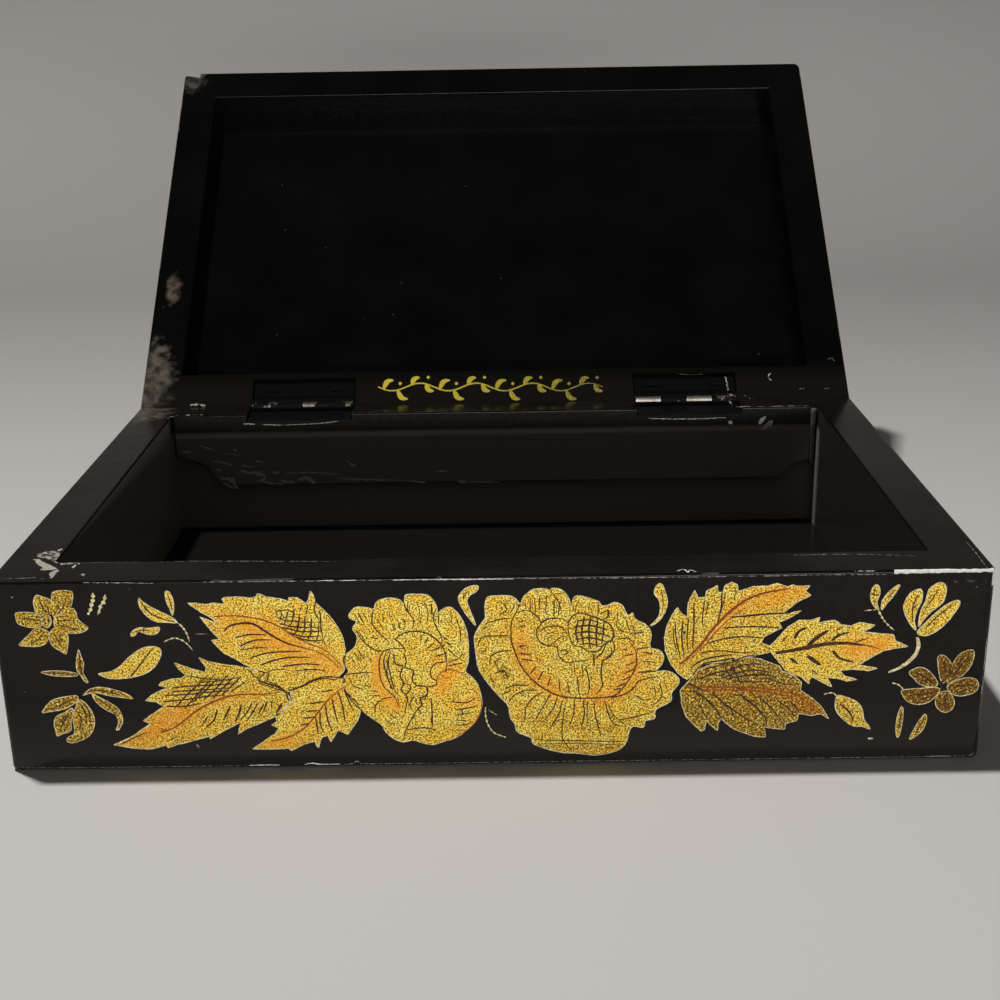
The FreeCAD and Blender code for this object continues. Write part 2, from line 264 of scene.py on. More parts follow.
motifs["leafOne"] = {
    "view": "left", "rub": 0.0, "bold": 1.55,
    "gold": [
        [(865, 290), (905, 292), (945, 297), (985, 290), (1036, 297), (1024, 272), (1035, 265), (1100, 262),
         (1155, 268), (1180, 262), (1186, 247), (1204, 252), (1225, 262), (1290, 270), (1330, 283), (1332, 265),
         (1370, 265), (1410, 292), (1424, 270), (1430, 234), (1446, 256), (1456, 290), (1490, 320), (1531, 362),
         (1565, 415), (1582, 450), (1592, 503), (1590, 560), (1586, 604), (1549, 643), (1530, 642), (1498, 638),
         (1473, 640), (1445, 650), (1412, 668), (1353, 692), (1325, 700), (1300, 694), (1250, 678), (1200, 660),
         (1188, 640), (1216, 613), (1180, 598), (1130, 575), (1080, 545), (1032, 520), (1000, 490), (976, 462),
         (1012, 457), (985, 430), (955, 395), (922, 355), (962, 370), (1004, 385), (975, 360), (930, 334),
         (900, 315)]],
    "ink": [
        ([(1035, 418), (1060, 395), (1120, 383), (1170, 388), (1215, 415), (1270, 450), (1330, 478), (1400, 497)], 7),
        ([(1085, 450), (1150, 436), (1232, 438)], 5), ([(1105, 490), (1170, 463), (1250, 460)], 5),
        ([(1112, 506), (1180, 497), (1235, 497)], 4), ([(1150, 545), (1230, 521), (1330, 514), (1392, 513)], 5),
        ([(1200, 577), (1300, 546), (1400, 540), (1432, 543)], 5), ([(1300, 583), (1400, 571), (1482, 576)], 5),
        ([(1360, 602), (1450, 597), (1505, 603)], 4), ([(1268, 350), (1310, 370), (1370, 376), (1450, 380)], 4),
        ([(1288, 384), (1360, 400), (1470, 402)], 5), ([(1305, 402), (1380, 421), (1480, 421)], 5),
        ([(1335, 426), (1400, 445), (1478, 441)], 5), ([(1365, 446), (1420, 463), (1490, 463)], 5),
        ([(1270, 330), (1330, 322), (1360, 340)], 4), ([(1290, 365), (1340, 352), (1400, 362)], 3),
        ([(1356, 318), (1345, 380), (1318, 412)], 5), ([(1380, 340), (1372, 410), (1352, 437)], 5),
        ([(1406, 350), (1402, 420), (1384, 447)], 5), ([(1436, 360), (1432, 430), (1418, 462)], 5),
        ([(1470, 375), (1466, 440), (1448, 478)], 4), ([(1300, 335), (1290, 376)], 4),
        ([(1330, 325), (1308, 392)], 4), ([(1268, 318), (1282, 352)], 3),
        ([(1455, 280), (1450, 330), (1472, 372)], 4), ([(1475, 320), (1482, 420), (1502, 488)], 4),
        ([(1420, 300), (1410, 346)], 4), ([(1510, 345), (1535, 380)], 3), ([(1392, 300), (1382, 330)], 3),
        ([(1228, 612), (1255, 600), (1330, 596)], 3)],
    "red": [
        ([(985, 352), (1080, 349), (1150, 356), (1220, 371), (1290, 400), (1350, 440), (1420, 475), (1490, 503),
         (1540, 543), (1580, 592)], 8), ([(1400, 497), (1470, 517), (1530, 556), (1572, 600)], 6)],
    "blush": [
        ([(1010, 375), (1090, 395), (1160, 420)], 45, 0.55), ([(1160, 405), (1270, 465), (1370, 515)], 45, 0.9),
        ([(1370, 515), (1480, 545), (1550, 590)], 34, 0.8), ([(960, 330), (1020, 352)], 22, 0.6)],
}
motifs["leafTwo"] = {
    "view": "left", "rub": 0.55, "bold": 1.55,
    "gold": [
        [(524, 944), (570, 925), (610, 905), (660, 870), (694, 848), (662, 832), (700, 805), (735, 782), (758, 767),
         (720, 746), (672, 741), (700, 715), (745, 692), (778, 681), (732, 671), (745, 655), (790, 641), (835, 636),
         (858, 624), (825, 597), (804, 566), (850, 582), (900, 598), (946, 609), (950, 587), (915, 541), (960, 560),
         (1020, 572), (1090, 580), (1150, 590), (1200, 604), (1240, 616), (1230, 650), (1275, 666), (1312, 690),
         (1328, 715), (1344, 746), (1318, 760), (1300, 790), (1280, 808), (1220, 835), (1180, 853), (1140, 868),
         (1098, 894), (1103, 870), (1112, 838), (1080, 855), (1030, 880), (970, 916), (964, 904), (905, 920),
         (865, 932), (820, 942), (776, 957), (766, 945), (700, 963), (650, 962), (590, 956), (560, 949)]],
    "ink": [
        ([(870, 626), (950, 640), (1030, 641)], 4), ([(798, 681), (880, 673), (1000, 668), (1085, 660)], 5),
        ([(790, 700), (880, 693), (1000, 686), (1072, 680)], 5),
        ([(760, 716), (850, 712), (960, 701), (1062, 693)], 5),
        ([(752, 745), (850, 736), (950, 722), (1040, 713)], 5), ([(768, 766), (850, 766), (932, 752)], 5),
        ([(900, 655), (1000, 650), (1110, 632)], 4), ([(808, 772), (860, 716), (915, 665), (962, 620)], 5),
        ([(850, 776), (910, 713), (965, 650), (992, 615)], 5), ([(888, 748), (950, 690), (1012, 630)], 5),
        ([(940, 736), (1000, 680), (1046, 624)], 5), ([(983, 726), (1040, 670), (1082, 628)], 5),
        ([(1022, 716), (1080, 660), (1112, 630)], 5), ([(1060, 702), (1142, 646)], 4),
        ([(1002, 783), (986, 830), (950, 863)], 6), ([(1062, 764), (1046, 800), (1028, 832)], 6),
        ([(1112, 758), (1102, 800), (1084, 838)], 6), ([(1162, 750), (1142, 790), (1108, 832)], 5),
        ([(1188, 754), (1162, 800), (1138, 833)], 5), ([(1216, 758), (1190, 803)], 5),
        ([(1232, 740), (1214, 792)], 5), ([(960, 812), (925, 860)], 4), ([(1256, 738), (1250, 770)], 4),
        ([(1190, 645), (1215, 656), (1290, 681), (1320, 706), (1330, 745)], 6),
        ([(560, 941), (620, 911), (682, 884)], 4), ([(1300, 752), (1272, 800)], 7), ([(820, 905), (770, 925)], 3),
        ([(1150, 600), (1170, 625), (1200, 640)], 4)],
    "red": [
        ([(742, 887), (800, 866), (850, 832), (900, 792), (950, 761), (1010, 735), (1080, 716), (1150, 711),
         (1220, 710), (1292, 700)], 11), ([(745, 880), (770, 868)], 8)],
    "blush": [
        ([(690, 890), (760, 848), (830, 808)], 42, 0.95), ([(880, 800), (1000, 742), (1180, 716)], 20, 0.6),
        ([(560, 942), (650, 910)], 16, 0.6)],
}
motifs["leafThree"] = {
    "view": "left", "rub": 0.15, "bold": 1.55,
    "gold": [
        [(1165, 963), (1200, 940), (1235, 915), (1272, 890), (1284, 868), (1252, 852), (1277, 836), (1268, 808),
         (1304, 795), (1322, 765), (1350, 745), (1338, 712), (1335, 694), (1400, 668), (1430, 650), (1480, 631),
         (1540, 632), (1592, 640), (1581, 670), (1598, 704), (1643, 749), (1664, 782), (1650, 830), (1604, 896),
         (1558, 876), (1526, 930), (1512, 900), (1484, 908), (1467, 957), (1452, 926), (1400, 942), (1344, 971),
         (1330, 960), (1240, 964)]],
    "ink": [
        ([(1335, 692), (1400, 670), (1432, 650), (1490, 631), (1540, 632), (1585, 640)], 5),
        ([(1428, 755), (1500, 743)], 5), ([(1410, 790), (1470, 786)], 5), ([(1398, 822), (1452, 815)], 5),
        ([(1388, 852), (1425, 846)], 5), ([(1475, 790), (1478, 850), (1496, 892)], 5),
        ([(1455, 815), (1462, 862), (1467, 895)], 5), ([(1500, 760), (1511, 830), (1532, 882)], 5),
        ([(1530, 730), (1546, 800), (1560, 845)], 5), ([(1560, 702), (1580, 770), (1590, 830)], 5),
        ([(1586, 690), (1612, 750), (1630, 790)], 4), ([(1420, 775), (1380, 800)], 3),
        ([(1480, 700), (1540, 690)], 4)],
    "red": [
        ([(1248, 927), (1310, 915), (1370, 890), (1422, 850), (1470, 790), (1510, 740), (1568, 690),
         (1602, 668)], 9)],
    "blush": [
        ([(1235, 940), (1330, 918)], 24, 0.8), ([(1400, 870), (1480, 785), (1570, 692)], 20, 0.5),
        ([(1400, 940), (1340, 960)], 16, 0.5)],
}
motifs["leftPeony"] = {
    "view": "middle", "rub": 0.0,
    "gold": [
        [(95, 590), (103, 560), (118, 541), (98, 505), (101, 476), (135, 450), (150, 425), (152, 395), (134, 365),
         (150, 337), (122, 322), (122, 302), (150, 277), (205, 281), (222, 284), (228, 264), (242, 249), (285, 239),
         (328, 246), (347, 268), (349, 245), (358, 225), (430, 225), (458, 238), (480, 272), (487, 302), (506, 285),
         (540, 278), (570, 305), (592, 340), (608, 390), (612, 440), (611, 500), (600, 541), (622, 562), (648, 592),
         (664, 640), (666, 690), (645, 745), (605, 785), (560, 815), (510, 831), (465, 844), (420, 836), (385, 826),
         (340, 833), (298, 815), (270, 790), (256, 765), (230, 746), (175, 706), (140, 672), (108, 630)]],
    "ink": [
        ([(220, 286), (214, 340), (240, 380), (288, 422)], 5), ([(347, 262), (358, 290), (388, 332), (380, 366)], 5),
        ([(480, 282), (468, 320), (480, 360), (502, 400), (500, 432)], 5), ([(490, 302), (489, 350)], 4),
        ([(150, 372), (180, 420), (240, 458), (300, 447), (350, 448)], 5), ([(100, 556), (150, 549), (218, 545)], 5),
        ([(120, 565), (136, 600), (180, 616)], 4),
        ([(308, 412), (340, 386), (390, 377), (440, 385), (490, 420), (516, 465), (524, 520), (516, 546)], 6),
        ([(310, 410), (332, 426), (352, 455), (350, 472)], 5),
        ([(262, 462), (246, 490), (246, 552), (262, 602), (290, 630), (311, 652), (326, 692)], 5),
        ([(272, 466), (263, 502), (276, 560), (292, 602)], 6),
        ([(292, 460), (281, 500), (291, 560), (306, 612), (322, 642)], 5),
        ([(305, 470), (310, 510), (341, 520), (330, 560), (346, 590), (335, 620), (360, 646), (355, 690),
         (350, 722)], 6),
        ([(345, 470), (356, 500), (350, 525), (386, 540), (380, 575), (400, 600), (441, 606), (440, 640), (415, 652),
         (421, 682), (400, 702), (366, 760), (350, 800), (345, 822)], 6),
        ([(441, 606), (476, 600), (482, 580), (461, 570), (455, 540), (472, 512), (502, 502)], 5),
        ([(420, 393), (414, 420)], 4), ([(446, 402), (430, 432)], 4), ([(470, 424), (440, 450)], 5),
        ([(502, 440), (458, 456)], 5), ([(513, 470), (470, 481)], 5), ([(519, 502), (480, 507)], 5),
        ([(390, 385), (388, 402)], 3), ([(298, 345), (311, 376)], 5), ([(324, 340), (330, 370)], 5),
        ([(344, 325), (352, 348)], 7), ([(365, 250), (360, 285), (372, 312)], 4),
        ([(395, 250), (410, 290), (405, 330)], 3), ([(430, 250), (445, 300), (440, 350)], 4),
        ([(460, 262), (462, 312)], 6), ([(416, 318), (412, 352)], 4), ([(520, 418), (548, 442)], 6),
        ([(528, 448), (560, 482)], 5), ([(508, 400), (532, 415)], 6), ([(512, 432), (500, 450)], 7),
        ([(535, 500), (572, 492)], 5), ([(530, 520), (590, 506)], 5), ([(560, 320), (580, 380), (575, 440)], 4),
        ([(538, 300), (545, 350)], 3), ([(590, 470), (570, 490)], 5), ([(158, 300), (182, 345)], 5),
        ([(172, 296), (196, 330)], 4), ([(148, 312), (165, 350)], 4), ([(162, 380), (188, 420)], 4),
        ([(140, 462), (168, 502)], 4), ([(155, 452), (186, 495)], 4), ([(128, 480), (150, 520)], 3),
        ([(208, 400), (240, 408)], 5), ([(190, 470), (215, 505)], 3), ([(258, 300), (262, 340)], 3),
        ([(285, 290), (290, 330)], 3), ([(240, 330), (262, 372)], 4), ([(538, 666), (600, 671), (640, 655)], 6),
        ([(558, 700), (620, 692), (652, 680)], 5), ([(560, 722), (632, 712)], 5), ([(562, 742), (605, 746)], 5),
        ([(558, 762), (602, 762), (628, 748)], 5), ([(566, 785), (592, 784)], 4), ([(584, 700), (590, 722)], 6),
        ([(460, 650), (463, 720), (466, 772)], 5), ([(462, 728), (462, 760)], 8),
        ([(360, 784), (420, 775), (478, 782)], 5), ([(392, 640), (370, 680), (386, 702)], 5),
        ([(402, 690), (418, 716)], 5), ([(378, 740), (400, 722)], 5),
        ([(226, 716), (230, 682), (262, 655), (312, 646)], 5), ([(200, 622), (242, 626)], 4),
        ([(204, 642), (252, 642)], 4), ([(290, 720), (322, 742)], 4), ([(268, 742), (300, 762)], 4),
        ([(300, 700), (330, 722)], 4), ([(345, 590), (372, 600), (368, 625), (346, 640)], 5),
        ([(312, 540), (340, 545)], 4), ([(395, 650), (398, 680)], 4), ([(440, 640), (430, 664)], 5),
        ([(280, 490), (276, 540), (286, 590)], 4), ([(180, 600), (215, 606)], 4), ([(290, 600), (300, 618)], 8)],
    "red": [
        ([(482, 600), (486, 562), (520, 536), (562, 540), (604, 562)], 6),
        ([(664, 650), (665, 692), (645, 745), (605, 785), (560, 814)], 5), ([(500, 555), (520, 572), (548, 560)], 4),
        ([(320, 650), (328, 684)], 6)],
    "blush": [
        ([(236, 500), (238, 570), (262, 630), (310, 680)], 20, 0.95), ([(500, 570), (535, 552)], 26, 0.85),
        ([(490, 615), (515, 600)], 22, 0.8), ([(485, 500), (505, 535)], 20, 0.45),
        ([(600, 672), (650, 640)], 20, 0.5), ([(280, 668), (318, 680)], 18, 0.8),
        ([(560, 800), (650, 740)], 16, 0.4)],
    "dim": [([(560, 690), (600, 760)], 60, 0.5), ([(300, 760), (440, 790), (520, 790)], 50, 0.45)],
}
motifs["rightPeony"] = {
    "view": "middle", "rub": 0.55,
    "gold": [
        [(637, 408), (642, 385), (660, 352), (682, 320), (680, 280), (686, 246), (702, 232), (790, 232), (826, 263),
         (840, 235), (880, 204), (938, 202), (946, 213), (955, 200), (995, 205), (1026, 240), (1036, 282),
         (1045, 242), (1070, 230), (1150, 254), (1160, 271), (1190, 268), (1214, 258), (1246, 270), (1270, 312),
         (1290, 300), (1300, 326), (1345, 350), (1366, 385), (1362, 441), (1400, 455), (1418, 480), (1410, 512),
         (1386, 541), (1430, 540), (1471, 560), (1480, 590), (1450, 630), (1446, 665), (1385, 700), (1380, 735),
         (1342, 745), (1335, 772), (1293, 768), (1275, 790), (1265, 830), (1235, 863), (1185, 880), (1130, 886),
         (1060, 879), (1000, 876), (935, 861), (880, 839), (870, 815), (815, 791), (805, 760), (785, 730), (776, 682),
         (740, 645), (690, 585), (655, 530), (644, 470)]],
    "ink": [
        ([(812, 300), (850, 290), (890, 310), (912, 345), (894, 372), (900, 410), (935, 436), (976, 440), (986, 480),
         (1020, 506), (1060, 501), (1122, 490)], 5), ([(910, 345), (940, 325), (1000, 325), (1026, 345)], 5),
        ([(912, 372), (950, 355), (1002, 362), (1020, 392)], 5),
        ([(935, 436), (960, 428), (990, 402), (1018, 395)], 4),
        ([(990, 460), (1010, 452), (1022, 466), (1004, 474)], 6), ([(930, 390), (960, 382), (985, 390)], 3),
        ([(926, 405), (962, 402)], 3),
        ([(1022, 350), (1040, 315), (1075, 300), (1120, 314), (1165, 330), (1192, 345), (1211, 375), (1205, 410),
         (1170, 432), (1150, 456), (1110, 461), (1080, 442), (1045, 431), (1030, 395), (1022, 350)], 6),
        ([(1060, 335), (1110, 329), (1162, 345)], 6), ([(1048, 360), (1110, 352), (1188, 371)], 7),
        ([(1044, 386), (1110, 378), (1196, 396)], 7), ([(1054, 411), (1115, 403), (1186, 421)], 7),
        ([(1070, 431), (1120, 428), (1160, 441)], 6), ([(1066, 330), (1055, 380), (1066, 426)], 7),
        ([(1091, 320), (1080, 380), (1091, 441)], 7), ([(1116, 318), (1110, 380), (1116, 451)], 7),
        ([(1146, 325), (1140, 386), (1141, 446)], 7), ([(1171, 340), (1168, 391), (1161, 431)], 6),
        ([(1160, 302), (1192, 290), (1185, 320), (1166, 326)], 6), ([(1185, 300), (1196, 322)], 6),
        ([(1205, 412), (1216, 450), (1190, 486), (1166, 500), (1160, 560), (1166, 602), (1140, 636)], 6),
        ([(1180, 432), (1160, 470), (1130, 492)], 6), ([(1128, 470), (1132, 522)], 6),
        ([(1200, 440), (1202, 468), (1180, 482)], 5), ([(950, 636), (925, 680), (890, 742)], 5),
        ([(920, 626), (880, 652), (850, 690), (846, 742)], 5), ([(980, 650), (960, 700), (925, 742)], 5),
        ([(1000, 660), (985, 720), (945, 782)], 5), ([(1010, 690), (1000, 760), (1002, 820), (1040, 872)], 5),
        ([(1050, 660), (1046, 720), (1030, 762)], 5), ([(1085, 664), (1091, 720), (1076, 772)], 6),
        ([(1105, 664), (1101, 720), (1105, 762)], 4), ([(1130, 664), (1136, 720), (1160, 812)], 5),
        ([(1175, 662), (1190, 720), (1215, 760), (1252, 768)], 5),
        ([(892, 620), (850, 620), (800, 641), (780, 670)], 5), ([(860, 600), (800, 600), (760, 616)], 5),
        ([(785, 396), (720, 395), (670, 401), (650, 440)], 5), ([(790, 456), (740, 460), (706, 480), (700, 522)], 5),
        ([(750, 490), (722, 500), (736, 532)], 5), ([(722, 550), (760, 538), (772, 570)], 6),
        ([(682, 345), (740, 328), (792, 322)], 5), ([(746, 306), (772, 286), (756, 262), (780, 262)], 5),
        ([(784, 302), (802, 270)], 4), ([(868, 250), (868, 290), (886, 306)], 4), ([(885, 240), (890, 300)], 4),
        ([(906, 230), (905, 292)], 4), ([(936, 225), (930, 302)], 4), ([(966, 250), (966, 322)], 5),
        ([(991, 250), (982, 312)], 4), ([(949, 206), (986, 260), (992, 292)], 4), ([(846, 256), (850, 282)], 4),
        ([(820, 440), (852, 435)], 6), ([(820, 470), (872, 470)], 6), ([(831, 492), (882, 498)], 6),
        ([(868, 552), (892, 520)], 6), ([(900, 577), (922, 540)], 6), ([(940, 602), (952, 560)], 5),
        ([(990, 622), (986, 570)], 5), ([(1030, 632), (1022, 590)], 5), ([(1070, 638), (1060, 560)], 5),
        ([(1096, 520), (1112, 600), (1101, 641)], 5), ([(1080, 510), (1086, 562)], 4),
        ([(1050, 512), (1052, 560)], 3), ([(848, 330), (820, 342)], 4), ([(850, 352), (812, 360)], 4),
        ([(1292, 470), (1250, 480)], 5), ([(1300, 502), (1260, 520)], 5), ([(1296, 532), (1255, 550)], 5),
        ([(1280, 562), (1246, 580)], 6), ([(1260, 592), (1228, 604)], 6), ([(1242, 612), (1210, 618)], 6),
        ([(1270, 450), (1240, 452)], 4), ([(1225, 410), (1270, 405), (1300, 432)], 5),
        ([(1278, 386), (1340, 380)], 5), ([(1306, 450), (1361, 441)], 5), ([(1310, 546), (1388, 541)], 6),
        ([(1240, 372), (1256, 380)], 9), ([(1230, 300), (1225, 352), (1240, 378)], 4),
        ([(1262, 330), (1280, 380)], 4), ([(1290, 350), (1302, 392)], 4), ([(1060, 262), (1052, 300)], 4),
        ([(1110, 258), (1120, 300)], 3), ([(1150, 262), (1146, 306)], 4), ([(1330, 462), (1375, 470)], 4),
        ([(1330, 500), (1390, 505)], 4), ([(1322, 420), (1342, 424)], 4),
        ([(1200, 650), (1262, 634), (1302, 602), (1314, 582), (1392, 562)], 6),
        ([(1240, 741), (1310, 726), (1372, 711)], 5), ([(1190, 676), (1210, 722), (1262, 762)], 4),
        ([(1380, 600), (1386, 652)], 4), ([(1401, 590), (1411, 641), (1380, 680)], 5),
        ([(1422, 590), (1432, 612)], 4), ([(1300, 640), (1340, 660), (1380, 652)], 4),
        ([(1320, 750), (1300, 722)], 3), ([(882, 824), (1060, 828), (1262, 832)], 4),
        ([(900, 842), (1060, 838), (1250, 846)], 3),
        ([(826, 264), (808, 300), (790, 340), (788, 400), (800, 450), (831, 520), (880, 580), (940, 622), (1000, 646),
         (1100, 652), (1200, 646), (1240, 621), (1285, 560), (1306, 500), (1300, 450), (1270, 415)], 6),
        ([(668, 372), (700, 352)], 4), ([(656, 470), (690, 452)], 4), ([(748, 640), (790, 620)], 4),
        ([(700, 560), (722, 590)], 4)],
    "red": [
        ([(975, 640), (1050, 652), (1127, 654)], 9), ([(1150, 652), (1196, 648)], 8), ([(822, 440), (845, 452)], 9),
        ([(828, 462), (850, 472)], 8), ([(1309, 492), (1302, 530), (1290, 556)], 8),
        ([(1060, 876), (1135, 884), (1190, 878)], 4)],
    "blush": [
        ([(828, 400), (836, 490), (890, 572), (970, 628)], 30, 0.75),
        ([(1292, 480), (1280, 560), (1225, 622), (1140, 638)], 34, 0.7), ([(1220, 500), (1230, 560)], 30, 0.3),
        ([(1060, 860), (1180, 872)], 14, 0.4)],
    "dim": [
        ([(755, 530), (770, 560)], 34, 0.9), ([(900, 850), (1230, 856)], 26, 0.75),
        ([(1120, 390), (1125, 395)], 70, 0.6), ([(1350, 620), (1420, 600)], 40, 0.55),
        ([(850, 740), (1200, 780)], 60, 0.7)],
}
motifs["commas"] = {
    "view": "middle", "rub": 0.2,
    "gold": [
        [(652, 190), (628, 189), (600, 200), (577, 225), (571, 245), (590, 286), (615, 322), (642, 352), (629, 315),
         (613, 275), (606, 250), (620, 226), (646, 211)],
        [(1395, 182), (1411, 183), (1426, 220), (1433, 260), (1420, 302), (1395, 336), (1363, 353), (1395, 320),
         (1404, 285), (1400, 250), (1380, 220), (1385, 195)]],
    "ink": [([(590, 240), (612, 205)], 4), ([(1408, 205), (1416, 250), (1412, 290)], 4)],
    "marks": [
        ([(683, 690), (683, 722), (694, 762), (720, 796), (768, 814)], 10, "beaded"),
        ([(694, 700), (730, 722)], 5, "beaded")],
}
motifs["leafFour"] = {
    "view": "right", "rub": 0.58, "bold": 1.55,
    "gold": [
        [(125, 642), (85, 616), (50, 570), (25, 510), (20, 450), (35, 390), (60, 340), (80, 312), (100, 340),
         (126, 357), (130, 290), (150, 250), (160, 232), (175, 266), (210, 264), (214, 236), (263, 210), (270, 242),
         (290, 241), (300, 210), (330, 194), (356, 205), (360, 237), (400, 225), (430, 214), (500, 212), (540, 199),
         (590, 216), (612, 206), (640, 213), (692, 210), (670, 235), (696, 255), (640, 281), (600, 312), (560, 342),
         (600, 336), (652, 325), (610, 352), (575, 370), (548, 378), (563, 405), (525, 422), (480, 446), (468, 472),
         (512, 490), (502, 518), (440, 533), (380, 540), (300, 555), (200, 572), (150, 622)]],
    "ink": [
        ([(70, 380), (74, 450), (96, 552)], 4), ([(106, 370), (100, 450), (112, 532)], 5),
        ([(131, 360), (125, 460), (131, 522)], 4), ([(156, 290), (156, 400), (150, 502)], 5),
        ([(206, 280), (194, 370), (200, 402)], 4), ([(226, 280), (210, 352)], 3),
        ([(286, 242), (281, 320), (264, 382)], 5), ([(302, 240), (290, 300), (271, 362)], 3),
        ([(330, 356), (400, 350), (500, 340), (602, 336)], 6), ([(290, 406), (380, 400), (480, 400), (552, 406)], 5),
        ([(220, 476), (290, 456), (380, 445), (472, 452)], 5), ([(180, 522), (280, 510), (380, 520), (440, 512)], 4),
        ([(140, 590), (200, 552), (300, 532), (340, 530)], 5), ([(112, 420), (114, 434)], 14),
        ([(60, 400), (66, 470), (80, 520)], 3), ([(340, 215), (350, 240), (340, 270)], 3),
        ([(150, 622), (200, 572), (300, 552), (345, 545), (330, 558), (400, 535), (460, 530)], 5)],
    "red": [
        ([(95, 572), (140, 531), (190, 481), (235, 421), (285, 366), (340, 315), (400, 275), (460, 250), (520, 236),
         (596, 224)], 15), ([(120, 560), (200, 492), (250, 431), (300, 381), (350, 340), (420, 300)], 5)],
    "blush": [
        ([(285, 366), (340, 315), (400, 275), (460, 250), (520, 236), (596, 224)], 11, 1.0),
        ([(440, 284), (520, 258), (600, 240), (650, 238)], 34, 0.8), ([(250, 420), (340, 328), (430, 280)], 20, 0.7),
        ([(120, 550), (220, 450)], 14, 0.35)],
}
motifs["leafFive"] = {
    "view": "right", "rub": 0.2, "bold": 1.55,
    "gold": [
        [(503, 492), (545, 450), (590, 400), (640, 370), (700, 369), (737, 356), (730, 386), (760, 375), (805, 370),
         (835, 391), (880, 396), (920, 379), (990, 392), (962, 410), (930, 423), (1000, 430), (1076, 436),
         (1086, 465), (1142, 490), (1090, 498), (1030, 510), (990, 531), (940, 560), (918, 576), (1002, 591),
         (960, 602), (890, 594), (828, 602), (850, 626), (908, 643), (860, 650), (828, 640), (770, 632), (792, 677),
         (740, 652), (700, 630), (690, 645), (686, 662), (650, 631), (610, 616), (580, 601), (553, 570), (530, 541),
         (508, 515)]],
    "ink": [
        ([(532, 522), (600, 510), (680, 495), (760, 480), (850, 475), (940, 485)], 12),
        ([(620, 456), (640, 421), (678, 404)], 9), ([(680, 490), (722, 450), (778, 416)], 12),
        ([(790, 465), (820, 441), (872, 424)], 8), ([(600, 545), (636, 571)], 9), ([(680, 534), (740, 576)], 13),
        ([(795, 510), (830, 545), (892, 562)], 8), ([(560, 470), (590, 440)], 4), ([(900, 470), (960, 452)], 4),
        ([(700, 600), (730, 622)], 4), ([(840, 400), (810, 420)], 4)],
    "red": [([(840, 476), (940, 484), (1016, 502)], 8)],
    "blush": [
        ([(900, 505), (1020, 492)], 38, 0.95), ([(850, 490), (940, 520)], 24, 0.6),
        ([(690, 500), (780, 490)], 18, 0.3)],
}
motifs["leafSix"] = {
    "view": "right", "rub": 0.86, "bold": 1.55,
    "gold": [
        [(93, 692), (130, 652), (160, 612), (200, 587), (260, 563), (330, 550), (400, 542), (460, 547), (500, 562),
         (552, 582), (560, 602), (620, 626), (652, 656), (648, 692), (700, 728), (742, 765), (778, 824), (740, 800),
         (700, 809), (640, 800), (630, 832), (578, 846), (575, 872), (520, 868), (480, 862), (487, 908), (440, 906),
         (380, 886), (340, 871), (300, 841), (280, 820), (268, 848), (264, 878), (230, 851), (214, 830), (205, 872),
         (190, 882), (155, 851), (118, 810), (100, 760)]],
    "ink": [
        ([(280, 626), (340, 590), (420, 570), (472, 576)], 5), ([(290, 636), (360, 611), (430, 600), (502, 606)], 6),
        ([(320, 641), (380, 626), (480, 620), (532, 636)], 6), ([(200, 600), (280, 576), (340, 561), (382, 556)], 5),
        ([(180, 641), (260, 611), (350, 600)], 5), ([(300, 590), (332, 642)], 6), ([(330, 580), (372, 662)], 6),
        ([(362, 571), (402, 641)], 5), ([(400, 575), (430, 610)], 4), ([(340, 650), (420, 655), (520, 652)], 4),
        ([(150, 692), (210, 731), (260, 781), (282, 822)], 6), ([(240, 701), (290, 750), (350, 791), (412, 836)], 6),
        ([(370, 711), (430, 760), (480, 811), (492, 852)], 6), ([(450, 721), (510, 771), (552, 822)], 5),
        ([(540, 736), (590, 776), (622, 812)], 5), ([(600, 741), (642, 792)], 5), ([(180, 760), (220, 830)], 4),
        ([(130, 660), (170, 680), (200, 690)], 6), ([(315, 760), (350, 830)], 3),
        ([(500, 640), (560, 660), (620, 668)], 4)],
    "red": [
        ([(120, 681), (200, 678), (300, 677), (400, 680), (480, 685), (560, 695), (640, 721), (692, 762)], 9),
        ([(200, 691), (300, 690), (400, 694), (500, 702), (560, 713), (622, 724)], 8), ([(692, 740), (696, 804)], 6)],
    "blush": [
        ([(600, 722), (700, 780)], 36, 0.8), ([(200, 684), (400, 687), (560, 704)], 12, 0.8),
        ([(720, 800), (765, 812)], 14, 0.6)],
    "dim": [
        ([(220, 800), (420, 830)], 70, 0.35), ([(300, 600), (450, 600)], 45, 0.4),
        ([(480, 760), (600, 790)], 50, 0.45)],
}
motifs["smallLeaf"] = {
    "view": "right", "rub": 0.6,
    "gold": [
        [(815, 720), (850, 722), (905, 745), (932, 780), (940, 826), (968, 870), (930, 858), (890, 856), (845, 826),
         (810, 780)]],
    "ink": [
        ([(828, 755), (870, 790), (892, 832)], 8), ([(852, 750), (840, 740)], 5), ([(900, 770), (880, 790)], 4),
        ([(862, 812), (848, 800)], 4)],
    "red": [([(830, 745), (850, 765)], 6)],
    "marks": [([(755, 711), (795, 704), (818, 724)], 9, "beaded"), ([(958, 914), (982, 915)], 9, "plain")],
}
motifs["topSprigRight"] = {
    "view": "right", "rub": 0.55,
    "gold": [
        [(985, 213), (1006, 209), (1014, 245), (1000, 285), (1008, 322), (984, 300), (970, 260)],
        [(1085, 215), (1106, 208), (1080, 252), (1045, 292), (1022, 322), (1025, 280), (1050, 245)]],
    "ink": [
        ([(990, 225), (985, 270)], 4), ([(1085, 228), (1050, 268)], 4), ([(972, 250), (1010, 256)], 5),
        ([(1048, 262), (1068, 256)], 5)],
    "marks": [
        ([(998, 300), (1020, 350), (1045, 385), (1080, 417)], 12, "beaded"), ([(945, 325), (995, 321)], 7, "beaded")],
}
